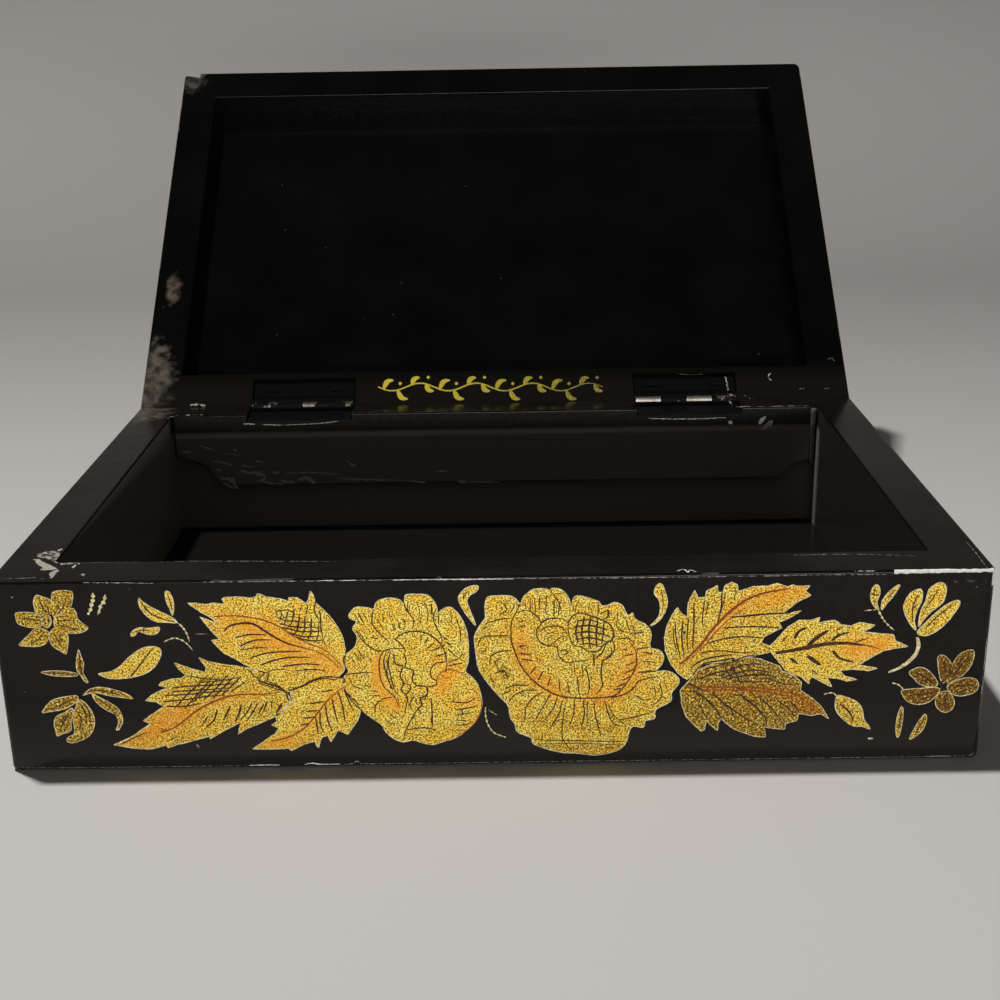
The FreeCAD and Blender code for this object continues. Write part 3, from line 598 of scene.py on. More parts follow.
motifs["threePetalBud"] = {
    "view": "right", "rub": 0.35,
    "gold": [
        [(1190, 227), (1208, 235), (1206, 280), (1186, 322), (1172, 370), (1180, 415), (1152, 386), (1130, 340),
         (1124, 300), (1150, 250)],
        [(1300, 197), (1319, 215), (1316, 255), (1300, 291), (1250, 331), (1215, 366), (1192, 398), (1202, 330),
         (1225, 280), (1240, 230), (1270, 204)],
        [(1376, 278), (1382, 295), (1361, 331), (1330, 371), (1280, 416), (1230, 440), (1195, 437), (1186, 424),
         (1210, 395), (1260, 346), (1310, 305), (1345, 285)]],
    "ink": [
        ([(1190, 250), (1165, 310), (1165, 380)], 5), ([(1180, 300), (1160, 322)], 6),
        ([(1285, 225), (1250, 280), (1215, 330)], 4), ([(1240, 250), (1270, 262)], 4),
        ([(1345, 300), (1280, 350), (1220, 410)], 5), ([(1262, 380), (1266, 392)], 12),
        ([(1300, 330), (1322, 342)], 5)],
    "marks": [([(1184, 448), (1192, 482), (1180, 522), (1145, 561), (1100, 590), (1052, 610)], 18, "plain")],
}
motifs["rightBlossom"] = {
    "view": "right", "rub": 1.0,
    "gold": [
        [(1281, 539), (1301, 529), (1325, 544), (1343, 568), (1349, 599), (1326, 637), (1309, 658), (1294, 646),
         (1286, 611), (1281, 568)],
        [(1344, 594), (1356, 558), (1384, 524), (1420, 508), (1444, 508), (1448, 533), (1434, 576), (1402, 618),
         (1361, 645), (1327, 661), (1326, 639)],
        [(1343, 659), (1388, 640), (1424, 634), (1457, 643), (1469, 671), (1451, 702), (1419, 713), (1382, 719),
         (1346, 709), (1325, 686), (1325, 670)],
        [(1325, 696), (1344, 714), (1357, 746), (1348, 777), (1321, 794), (1295, 788), (1276, 771), (1269, 744),
         (1282, 710), (1300, 700)],
        [(1114, 694), (1157, 686), (1205, 683), (1262, 679), (1290, 686), (1282, 707), (1252, 738), (1216, 755),
         (1174, 757), (1139, 742), (1120, 718)],
        [(1148, 611), (1178, 591), (1207, 587), (1238, 602), (1266, 633), (1281, 662), (1267, 675), (1230, 676),
         (1196, 663), (1171, 639)]],
    "ink": [
        ([(1310, 556), (1315, 616)], 6), ([(1420, 536), (1380, 591), (1347, 636)], 6),
        ([(1400, 536), (1365, 586)], 5), ([(1350, 681), (1400, 671), (1448, 666)], 6),
        ([(1370, 701), (1420, 691)], 5), ([(1310, 721), (1318, 768)], 6),
        ([(1262, 701), (1210, 711), (1150, 716)], 6), ([(1240, 722), (1190, 738)], 5),
        ([(1256, 661), (1220, 631), (1185, 611)], 6), ([(1235, 659), (1205, 642)], 5),
        ([(1282, 661), (1316, 668)], 6), ([(1300, 648), (1296, 694)], 6), ([(1284, 680), (1310, 686)], 4)],
    "marks": [([(1070, 657), (1105, 671), (1126, 696)], 10, "beaded")],
}
motifs["slimLeaves"] = {
    "view": "right", "rub": 0.75,
    "gold": [
        [(1112, 766), (1120, 775), (1118, 830), (1106, 890), (1095, 910), (1087, 886), (1092, 820)],
        [(1222, 802), (1229, 830), (1206, 881), (1165, 913), (1149, 916), (1174, 865), (1200, 825)]],
    "ink": [
        ([(1112, 790), (1100, 870)], 4), ([(1218, 825), (1175, 892)], 4), ([(1090, 850), (1112, 856)], 6),
        ([(1190, 846), (1208, 862)], 5)],
}

# Layers of the ornament: how far each lies above the lacquer, how fine its mesh is and how wide its lines are.
# wornFrom: the rub from which a patch has the narrower wornEdge
goldWork = {
    "goldLift": 0.02 * mm, "goldSink": 0.05 * mm, "ridge": 0.008 * mm, "edgeLift": 0.012 * mm, "inkLift": 0.018 * mm,
    "layerStep": 0.002 * mm, "meshStep": 0.75 * mm, "lidMeshStep": 1.125 * mm, "outlineStep": 0.38 * mm,
    "strokeStep": 0.55 * mm, "markStep": 0.33 * mm, "edgeWidth": 0.2 * mm, "seamWidth": 0.24 * mm,
    "wornFrom": 0.6, "wornEdge": 0.7, "layers": 4, "joinWithin": 0.0005 * mm, "cutRounds": 7,
    "pixel": 0.0395 * mm,   # one pixel of the enlarged views on the box's front
    "inkShare": 1.25, "redShare": 0.85, "raggedness": 0.08 * mm, "ragScale": 2100, "ragSeed": 7,
    "glazeReach": 1.65, "glazeShare": 0.95,
}
noise.seed_set(goldWork["ragSeed"])   # the ragged outlines are the same in every run


def curveThrough(points, step, closed=False):
    # A smooth line through the points, with a point about every step
    count = len(points)
    line = []
    for i in range(count if closed else count - 1):
        if closed:
            a, b, c, d = (points[(i + k) % count] for k in (-1, 0, 1, 2))
        else:
            a, b, c, d = (points[min(max(i + k, 0), count - 1)] for k in (-1, 0, 1, 2))
        parts = max(1, round((c - b).length / step))
        for j in range(parts):
            t = j / parts
            line.append(0.5 * (2 * b + (c - a) * t + (2 * a - 5 * b + 4 * c - d) * t ** 2
                               + (3 * b - a - 3 * c + d) * t ** 3))
    return line if closed else line + [points[-1]]


def raggedOutline(points, step, amount=goldWork["raggedness"]):
    # Straight runs between the points, as cut by hand
    line = []
    for start, end in zip(points, points[1:] + points[:1]):
        parts = max(1, round((end - start).length / step))
        for j in range(parts):
            spot = start.lerp(end, j / parts)
            shake = noise.noise_vector(Vector((spot.x, spot.y, 0)) * goldWork["ragScale"]) * amount
            line.append(spot + Vector(shake[:2]))
    return line


# Brush strokes: how thin they start, how fast they swell, how torn their edges are. Where a stroke starts at full
# width, only its end runs out
strokeKinds = {
    "plain": {"thin": 0.35, "power": 0.6, "torn": 0.35, "start": 0.12},
    "beaded": {"thin": 0.35, "power": 0.6, "torn": 0.35, "start": 0.12},
    "leaf": {"thin": 0.0, "power": 0.7, "torn": 0.1, "start": 0.0},
    "worn": {"thin": 0.3, "power": 0.5, "torn": 1.5, "start": 0.0},
}
strokeWork = {"ridge": goldWork["ridge"], "thinnest": 0.08, "leafTip": 0.02, "ragScale": 2500, "ragSide": 900,
              "beadRun": 2.2, "beadMiddle": 0.55, "beadSwing": 0.45}


def addStroke(mesh, surface, line, width, lift, kind="plain", closed=False):
    # A flat brush stroke with a slightly raised middle. plain runs out at its end, beaded comes in drops, leaf is
    # pointed at both ends, and worn has a torn outline
    last, shape, work = len(line) - 1, strokeKinds[kind], strokeWork
    strip = bmesh.ops.create_grid(mesh, x_segments=last, y_segments=2, size=0.5)["verts"]
    for vert in strip:
        i, side = round((vert.co.x + 0.5) * last), round(vert.co.y * 2)
        before, after = line[max(i - 1, 0)], line[min(i + 1, last)]
        if closed and i in (0, last):
            before, after = line[last - 1], line[1]
        ahead = (after - before).normalized()
        share = min(1, shape["start"] + i / last * (1 - shape["start"]))
        if kind == "leaf":
            share = min(max(share, work["leafTip"]), 1 - work["leafTip"])
        swell = shape["thin"] + (1 - shape["thin"]) * math.sin(math.pi * share) ** shape["power"]
        if kind == "beaded":
            swell *= work["beadMiddle"] + work["beadSwing"] * math.cos(i * work["beadRun"] + len(line))
        if closed:
            swell = 1
        rough = work["ragScale"] + work["ragSide"] * side * shape["torn"]
        shake = 1 + shape["torn"] * noise.noise(Vector((line[i].x, line[i].y, width)) * rough)
        spot = line[i] + Vector((-ahead.y, ahead.x)) * side * 0.5 * width * max(swell * shake, work["thinnest"])
        vert.co = onSurface(surface, spot, lift if side == 0 else lift - work["ridge"])


def nearLines(places, lines):
    # How strongly each place lies within the given lines' reach, from 0 to 1
    strength = numpy.zeros(len(places))
    for line, reach, most in lines:
        for start, end in zip(line, line[1:]):
            start, end = numpy.array(start), numpy.array(end)
            run = end - start
            share = numpy.clip((places - start) @ run / (run @ run), 0, 1)
            away = numpy.linalg.norm(places - start - share[:, None] * run, axis=1)
            strength = numpy.maximum(strength, most * numpy.exp(-((away / reach) ** 2)))
    return strength


def withinOutline(spots, outline):
    # For each spot, whether it lies inside the closed outline
    places, inside = numpy.array([spot[:] for spot in spots]), numpy.zeros(len(spots), bool)
    for start, end in zip(outline, outline[1:] + outline[:1]):
        if start.y == end.y:
            continue
        crosses = (places[:, 1] < start.y) != (places[:, 1] < end.y)
        at = start.x + (places[:, 1] - start.y) * (end.x - start.x) / (end.y - start.y)
        inside ^= crosses & (places[:, 0] < at)
    return inside


def splitRuns(line, covered):
    # The line's open and covered stretches, in turn
    runs = []
    for spot, hidden in zip(line, covered):
        if not runs or runs[-1][0] != hidden:
            runs.append((hidden, [runs[-1][1][-1], spot] if runs else [spot]))
        else:
            runs[-1][1].append(spot)
    return [(hidden, run) for hidden, run in runs if len(run) > 2]


def addPatch(mesh, surface, line, lift):
    # A flat face within the outline, turned outward
    face = mesh.faces.new([mesh.verts.new(onSurface(surface, spot, lift)) for spot in line])
    face.normal_update()
    if face.normal.dot(surfaces[surface]["outward"]) < 0:
        face.normal_flip()
    return face


def addObject(mesh, name, material, smooth):
    data = bpy.data.meshes.new(name)
    mesh.to_mesh(data)
    mesh.free()
    made = bpy.data.objects.new(name, data)
    bpy.context.collection.objects.link(made)
    data.materials.append(material)
    for face in data.polygons:
        face.use_smooth = smooth
    return made


def finishPiece(mesh, name, body, material, smooth=False):
    piece = addObject(mesh, name, material, smooth)
    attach(piece, body)
    return piece


# Short ways to write the nodes of a material. A value can be a number, a colour or another node's output
def addNode(tree, kind, values, **settings):
    node = tree.nodes.new(kind)
    for key, value in settings.items():
        setattr(node, key, value)
    for key, value in values.items():
        socket = node.inputs[key]
        if isinstance(value, bpy.types.NodeSocket):
            tree.links.new(value, socket)
        else:
            socket.default_value = (*value, 1) if socket.type == "RGBA" else value
    return node


def mathNode(tree, operation, *values):
    return addNode(tree, "ShaderNodeMath", dict(enumerate(values)), operation=operation).outputs[0]


def vectorNode(tree, operation, *values):
    node = addNode(tree, "ShaderNodeVectorMath", dict(enumerate(values)), operation=operation)
    return node.outputs["Value" if operation == "LENGTH" else "Vector"]


def rangeNode(tree, value, low, high, first=0.0, second=1.0, kind="LINEAR"):
    levels = {0: value, 1: low, 2: high, 3: first, 4: second}
    return addNode(tree, "ShaderNodeMapRange", levels, interpolation_type=kind).outputs[0]


def partsOf(tree, vector):
    return addNode(tree, "ShaderNodeSeparateXYZ", {0: vector}).outputs


def noiseNode(tree, vector, **values):
    return addNode(tree, "ShaderNodeTexNoise", {"Vector": vector, **values}).outputs["Fac"]


def mixColours(tree, share, first, second):
    return addNode(tree, "ShaderNodeMix", {0: share, 6: first, 7: second}, data_type="RGBA").outputs[2]


# Node groups: effects that several finishes share. Each has a Vector input, its own inputs and a Mask output
def startGroup(name, **inputs):
    group = bpy.data.node_groups.new(name, "ShaderNodeTree")
    group.interface.new_socket("Vector", in_out="INPUT", socket_type="NodeSocketVector")
    for label, value in inputs.items():
        kind = "NodeSocketVector" if isinstance(value, tuple) else "NodeSocketFloat"
        socket = group.interface.new_socket(label.replace("_", " "), in_out="INPUT", socket_type=kind)
        socket.default_value = value
    group.interface.new_socket("Mask", in_out="OUTPUT", socket_type="NodeSocketFloat")
    return group, group.nodes.new("NodeGroupInput").outputs


def finishGroup(group, mask):
    group.links.new(mask, group.nodes.new("NodeGroupOutput").inputs["Mask"])
    return group


def makeGrain():
    # Soft cloudy noise between two levels
    group, given = startGroup("grain", Scale=500.0, Detail=3.0, Low=0.3, High=0.7)
    texture = noiseNode(group, given["Vector"], Scale=given["Scale"], Detail=given["Detail"])
    return finishGroup(group, rangeNode(group, texture, given["Low"], given["High"], kind="SMOOTHSTEP"))


def makeSpecks():
    # Scattered small dots
    group, given = startGroup("specks", Scale=300.0, Size=0.1, Share=0.1)
    cells = addNode(group, "ShaderNodeTexVoronoi", {"Vector": given["Vector"], "Scale": given["Scale"]}).outputs
    dots = mathNode(group, "LESS_THAN", cells["Distance"], given["Size"])
    chosen = addNode(group, "ShaderNodeSeparateColor", {"Color": cells["Color"]}).outputs[0]
    few = mathNode(group, "LESS_THAN", chosen, given["Share"])
    return finishGroup(group, mathNode(group, "MULTIPLY", dots, few))


def makeEdgeWear():
    # Rubbed outer edges of a block: strongest where two of its faces meet
    group, given = startGroup("edgeWearAndHighlights", Centre=(0.0, 0.0, 0.0), Half_Size=(0.1, 0.1, 0.1), Width=0.0006, Amount=0.5)
    away = vectorNode(group, "ABSOLUTE", vectorNode(group, "SUBTRACT", given["Vector"], given["Centre"]))
    depth = partsOf(group, vectorNode(group, "SUBTRACT", given["Half Size"], away))
    low = mathNode(group, "MINIMUM", depth[0], depth[1])
    high = mathNode(group, "MAXIMUM", depth[0], depth[1])
    second = mathNode(group, "MAXIMUM", low, mathNode(group, "MINIMUM", high, depth[2]))
    reach = mathNode(group, "MULTIPLY", noiseNode(group, given["Vector"], Scale=220.0, Detail=5.0), given["Width"])
    near = mathNode(group, "GREATER_THAN", reach, second)
    some = mathNode(group, "LESS_THAN", noiseNode(group, given["Vector"], Scale=45.0, Detail=4.0), given["Amount"])
    return finishGroup(group, mathNode(group, "MULTIPLY", near, some))


def makeScuff():
    # A rubbed patch around one place
    group, given = startGroup("scuff", Centre=(0.0, 0.0, 0.0), Stretch=(1.0, 1.0, 1.0), Reach=0.01, Grain=300.0)
    offset = vectorNode(group, "SUBTRACT", given["Vector"], given["Centre"])
    away = vectorNode(group, "LENGTH", vectorNode(group, "MULTIPLY", offset, given["Stretch"]))
    share = mathNode(group, "DIVIDE", away, given["Reach"])
    texture = noiseNode(group, given["Vector"], Scale=given["Grain"], Detail=5.0, Roughness=0.65)
    level = rangeNode(group, mathNode(group, "SUBTRACT", texture, share), -0.25, 0.25, kind="SMOOTHSTEP")
    breaks = noiseNode(group, given["Vector"], Scale=given["Grain"], Detail=4.0, Distortion=0.4)
    return finishGroup(group, mathNode(group, "MULTIPLY", level, rangeNode(group, breaks, 0.38, 0.62, 0.3, 1.0)))


groups = {"grain": makeGrain(), "specks": makeSpecks(), "edgeWearAndHighlights": makeEdgeWear(), "scuff": makeScuff()}


def useGroup(tree, name, vector, **values):
    values = {label.replace("_", " "): value for label, value in values.items()}
    return addNode(tree, "ShaderNodeGroup", {"Vector": vector, **values}, node_tree=groups[name]).outputs["Mask"]


def newFinish(name, **settings):
    material = bpy.data.materials.new(name)
    material.use_nodes = True
    tree = material.node_tree
    shader = tree.nodes["Principled BSDF"]
    for label, value in settings.items():
        shader.inputs[label.replace("_", " ")].default_value = value
    return material, tree, shader, tree.nodes.new("ShaderNodeTexCoord").outputs["Object"]


def addBump(tree, shader, height, depth, strength):
    bump = addNode(tree, "ShaderNodeBump", {"Height": height, "Strength": strength, "Distance": depth})
    tree.links.new(bump.outputs[0], shader.inputs["Normal"])


# Black lacquer. The inner faces of the case get little light, so they are painted paler than the lacquer, each with
# its own colour: painted light. The batten's top, which the front lamp reaches, is painted darker: painted shade.
# backFrom: where the painted colour of the back wall begins, along y, paintedTopFrom, footLightFrom: heights between
# which the painted shade of the batten's top and the painted light of the case's foot come in, hingeLightFrom: the same
# along y for the painted light at the hinge end of the lid. The lid's colours are painted darker than the case's:
# painted shade
lacquerLook = {
    "deep": (0.0035, 0.0031, 0.0027), "worn": (0.0085, 0.0075, 0.0065), "rubbed": (0.085, 0.072, 0.058),
    "dust": (0.06, 0.056, 0.05), "foot": (0.019, 0.016, 0.014), "inside": (0.03, 0.0275, 0.0245),
    "insideLeftPaintedLight": (0.3, 0.28, 0.25), "insideBackPaintedLight": (0.33, 0.3, 0.265), "insideTopPaintedShade": (0.023, 0.021, 0.019),
    "insideFloorPaintedLight": (0.0082, 0.0074, 0.0065), "lidHingePaintedLight": (0.006, 0.0055, 0.0042),
    "lidShadedDeep": (0.0012, 0.0011, 0.001), "lidShadedWorn": (0.0022, 0.002, 0.0018),
    "cloud": {"Scale": 55.0, "Detail": 4.0, "Low": 0.35, "High": 0.7},
    "fine": {"Scale": 900.0, "Detail": 3.0, "Low": 0.3, "High": 0.75},
    "dustSpread": {"Scale": 520.0, "Size": 0.09, "Share": 0.02},
    "brushing": {"Scale": 1.0, "Detail": 4.0, "Low": 0.2, "High": 0.8}, "brushStretch": (18.0, 260.0, 260.0),
    "backFrom": (0.044, 0.0475), "paintedTopFrom": (0.0316, 0.0333), "footLightFrom": (0.014, 0.001),
    "hingeLightFrom": (0.046, 0.052), "edgeWidth": 0.0006, "edgeAmount": 0.4, "edgeShare": 0.7, "scuffGrain": 420.0,
    "specular": 0.21, "roughLow": 0.14, "roughHigh": 0.3, "brushShare": 0.35,
    "brushHeight": 0.6, "fineHeight": 0.25, "bump": (0.05 * mm, 0.55),
}


def insidePaintedLight(tree, place):
    # 1 on the inner faces of the walls, below the rim, and the colour painted there: paler than the lacquer, standing
    # in for the light the inside lacks (painted light), and darker on the batten's top where the front lamp reaches
    # (painted shade)
    look, spot = lacquerLook, partsOf(tree, place)
    away = partsOf(tree, vectorNode(tree, "ABSOLUTE", place))
    near, wallX = 0.1 * mm, box["halfWidth"] - box["wall"]
    level = mathNode(tree, "LESS_THAN", away[0], wallX + near)
    for test in (mathNode(tree, "LESS_THAN", away[1], box["backWallY"] + 2 * near),
                 mathNode(tree, "LESS_THAN", away[2], box["rimZ"] - 4 * near),
                 mathNode(tree, "GREATER_THAN", away[2], box["floorZ"] - near)):
        level = mathNode(tree, "MULTIPLY", level, test)
    back = rangeNode(tree, spot[1], *look["backFrom"])
    top = rangeNode(tree, spot[2], *look["paintedTopFrom"])
    floor = rangeNode(tree, spot[2], box["floorZ"] + 4 * near, box["floorZ"])
    # The left inner wall, shaded from the overhead lamp, is painted paler still: painted light
    left = mathNode(tree, "LESS_THAN", spot[0], near - wallX)
    shade = mixColours(tree, left, look["inside"], look["insideLeftPaintedLight"])
    shade = mixColours(tree, back, shade, mixColours(tree, top, look["insideBackPaintedLight"], look["insideTopPaintedShade"]))
    return level, mixColours(tree, floor, shade, look["insideFloorPaintedLight"])


def makeLacquer(name, isLid, scuffs):
    look = lacquerLook
    material, tree, shader, place = newFinish(name, Specular_IOR_Level=look["specular"])
    cloudy = useGroup(tree, "grain", place, **look["cloud"])
    fine = useGroup(tree, "grain", place, **look["fine"])
    # The lid's lacquer is painted darker than the case's: painted shade
    colour = mixColours(tree, cloudy, look["lidShadedDeep" if isLid else "deep"], look["lidShadedWorn" if isLid else "worn"])
    dust = useGroup(tree, "specks", place, **look["dustSpread"])
    colour = mixColours(tree, dust, colour, look["dust"])
    if isLid:
        # Turns the open lid back to level, about the hinge line
        block = addNode(tree, "ShaderNodeVectorRotate", {"Vector": place, "Center": hingeLine, "Angle": lidTurn},
                        rotation_type="X_AXIS").outputs[0]
        # Paler towards the lid's hinge end: painted light
        hinged = rangeNode(tree, partsOf(tree, block)[1], *look["hingeLightFrom"])
        colour = mixColours(tree, hinged, colour, look["lidHingePaintedLight"])
        middle, tall = box["rimZ"] + 2 * box["jointGap"] + box["lidThick"] / 2, box["lidThick"]
    else:
        block = place
        # Paler towards the foot: painted light
        foot = rangeNode(tree, partsOf(tree, place)[2], *look["footLightFrom"])
        colour = mixColours(tree, foot, colour, look["foot"])
        # The inner faces are painted paler and the batten's top darker: painted light and painted shade
        inside, insidePaintedColour = insidePaintedLight(tree, place)
        colour = mixColours(tree, inside, colour, insidePaintedColour)
        middle, tall = box["rimZ"] / 2, box["rimZ"]
    edges = useGroup(tree, "edgeWearAndHighlights", block, Centre=(0, 0, middle), Width=look["edgeWidth"], Amount=look["edgeAmount"],
                     Half_Size=(box["halfWidth"], box["backY"], tall / 2))
    colour = mixColours(tree, mathNode(tree, "MULTIPLY", edges, look["edgeShare"]), colour, look["rubbed"])
    for centre, stretch, reach, shade in scuffs:
        rubbed = useGroup(tree, "scuff", place, Centre=centre, Stretch=stretch, Reach=reach, Grain=look["scuffGrain"])
        colour = mixColours(tree, rubbed, colour, shade)
    tree.links.new(colour, shader.inputs["Base Color"])
    brushed = addNode(tree, "ShaderNodeMapping", {"Vector": block, "Scale": look["brushStretch"]}).outputs[0]
    strokes = useGroup(tree, "grain", brushed, **look["brushing"])
    share = look["brushShare"]
    spread = mathNode(tree, "MULTIPLY_ADD", strokes, share, mathNode(tree, "MULTIPLY", fine, 1 - share))
    gloss = rangeNode(tree, spread, 0.0, 1.0, look["roughLow"], look["roughHigh"])
    tree.links.new(gloss, shader.inputs["Roughness"])
    height = mathNode(tree, "ADD", mathNode(tree, "MULTIPLY", strokes, look["brushHeight"]),
                      mathNode(tree, "MULTIPLY", fine, look["fineHeight"]))
    addBump(tree, shader, height, *look["bump"])
    return material


# Gold leaf: a mottled ground, dark grit between the grains, bright glints, orange glaze and worn places
goldLook = {
    "bright": (1.0, 0.81, 0.17), "middle": (1.0, 0.61, 0.055), "deep": (0.12, 0.05, 0.003),
    "orange": (0.86, 0.27, 0.016), "worn": (0.125, 0.053, 0.013), "pale": (0.92, 0.84, 0.54),
    "ink": (0.022, 0.008, 0.003), "red": (0.22, 0.045, 0.007), "metal": 0.95, "rough": 0.4,
    "blotch": {"Scale": 420.0, "Detail": 3.0, "Low": 0.3, "High": 0.72},
    "grit": {"Scale": 3300.0, "Detail": 3.0, "Low": 0.43, "High": 0.54},
    "glints": {"Scale": 4200.0, "Detail": 2.0, "Low": 0.54, "High": 0.64},
    "patches": {"Scale": 2500.0, "Detail": 4.0, "Roughness": 0.65},
    "gritShare": 0.95, "gritBase": 0.1, "glintShare": 0.8, "glazeBase": 0.9, "glazeGrit": -0.35,
    "wornLevel": 0.82, "wornShare": 0.39, "wornEdge": (-0.08, 0.06), "bump": (0.04 * mm, 0.7),
}


def makeGold():
    look = goldLook
    material, tree, shader, place = newFinish("goldLeaf", Metallic=look["metal"], Roughness=look["rough"])
    glaze, rub = (addNode(tree, "ShaderNodeAttribute", {}, attribute_name=name).outputs["Fac"]
                  for name in ("blush", "rub"))
    blotch = useGroup(tree, "grain", place, **look["blotch"])
    grit = useGroup(tree, "grain", place, **look["grit"])
    share = mathNode(tree, "MULTIPLY_ADD", grit, look["gritShare"], look["gritBase"])
    colour = mixColours(tree, share, look["deep"], mixColours(tree, blotch, look["middle"], look["bright"]))
    glints = useGroup(tree, "grain", place, **look["glints"])
    colour = mixColours(tree, mathNode(tree, "MULTIPLY", glints, look["glintShare"]), colour, look["bright"])
    # The orange glaze lies between the grains of the leaf
    between = mathNode(tree, "MULTIPLY_ADD", grit, look["glazeGrit"], look["glazeBase"])
    glazed = mathNode(tree, "MULTIPLY", glaze, between)
    colour = mixColours(tree, glazed, colour, look["orange"])
    patchy = noiseNode(tree, place, **look["patches"])
    threshold = mathNode(tree, "SUBTRACT", look["wornLevel"], mathNode(tree, "MULTIPLY", rub, look["wornShare"]))
    bare = rangeNode(tree, mathNode(tree, "SUBTRACT", patchy, threshold), *look["wornEdge"])
    tree.links.new(mixColours(tree, bare, colour, look["worn"]), shader.inputs["Base Color"])
    addBump(tree, shader, grit, *look["bump"])
    return material


# The depth and strength of the bumps on small-grained finishes
plainBump = (0.03 * mm, 0.5)


def makePlain(name, colour, second, rough, metal, scale=1500.0, levels=(0.3, 0.7)):
    # A small-grained finish between two colours
    material, tree, shader, place = newFinish(name, Roughness=rough, Metallic=metal, Specular_IOR_Level=0.2)
    grit = useGroup(tree, "grain", place, Scale=scale, Detail=4.0, Low=levels[0], High=levels[1])
    tree.links.new(mixColours(tree, grit, colour, second), shader.inputs["Base Color"])
    addBump(tree, shader, grit, *plainBump)
    return material


# fades: the places along x between which the gold runs out, and how bare it is at each
sprayLook = {"gold": (0.62, 0.5, 0.05), "bare": (0.09, 0.08, 0.03), "fades": (-0.02, 0.022, 0.1, 0.85),
             "rough": 0.5, "metal": 0.2}


def makeSprayGold():
    # Brushed gold that runs out towards the right
    look = sprayLook
    material, tree, shader, place = newFinish("sprayGold", Roughness=look["rough"], Metallic=look["metal"])
    dry = rangeNode(tree, partsOf(tree, place)[0], *look["fades"])
    grit = useGroup(tree, "grain", place, Scale=1600.0, Detail=4.0, Low=0.3, High=0.7)
    thin = mathNode(tree, "MULTIPLY", dry, mathNode(tree, "MULTIPLY_ADD", grit, 0.5, 0.6))
    tree.links.new(mixColours(tree, thin, look["gold"], look["bare"]), shader.inputs["Base Color"])
    addBump(tree, shader, grit, *plainBump)
    return material


# The hinges' metal is bare only in a band just above the hinge line, narrowed to where the barrels show their
# highlight, so the worn band is also a painted highlight. plateFrom: how far from the line, in all directions, the
# barrels end and the plates begin
hingeLook = {
    "highlightBandMiddle": 0.55 * mm, "highlightBandReach": 0.6 * mm, "plateFrom": (1.6 * mm, 1.9 * mm), "specular": 0.12,
    "tarnish": {"Scale": 700.0, "Detail": 4.0, "Low": 0.3, "High": 0.75}, "patches": {"Scale": 420.0, "Detail": 5.0},
    "patchEdge": (0.02, -0.02), "paint": (0.0035, 0.0032, 0.003), "bump": (0.04 * mm, 0.5),
}


def makeHingeMetal(name, metal, darker, onPlate, onKnuckle, rough, paint=hingeLook["paint"]):
    # Tarnished metal with black paint left on it: onPlate and onKnuckle say how much of each is painted
    look = hingeLook
    material, tree, shader, place = newFinish(name, Roughness=rough, Specular_IOR_Level=look["specular"])
    tarnish = useGroup(tree, "grain", place, **look["tarnish"])
    patches = noiseNode(tree, place, **look["patches"])
    offset = vectorNode(tree, "SUBTRACT", place, hingeLine)
    away = vectorNode(tree, "LENGTH", vectorNode(tree, "MULTIPLY", offset, (0, 1, 1)))
    level = rangeNode(tree, away, *look["plateFrom"], onKnuckle, onPlate)
    patchy = rangeNode(tree, mathNode(tree, "SUBTRACT", patches, level), *look["patchEdge"])
    # Bare metal only in the band where the barrels' highlight falls: worn paint and painted highlight
    rubbed = mathNode(tree, "COMPARE", partsOf(tree, offset)[2], look["highlightBandMiddle"], look["highlightBandReach"])
    painted = mathNode(tree, "MAXIMUM", patchy, mathNode(tree, "SUBTRACT", 1.0, rubbed))
    colour = mixColours(tree, painted, mixColours(tree, tarnish, metal, darker), paint)
    tree.links.new(colour, shader.inputs["Base Color"])
    tree.links.new(mathNode(tree, "SUBTRACT", 1.0, painted), shader.inputs["Metallic"])
    addBump(tree, shader, mathNode(tree, "ADD", tarnish, painted), *look["bump"])
    return material


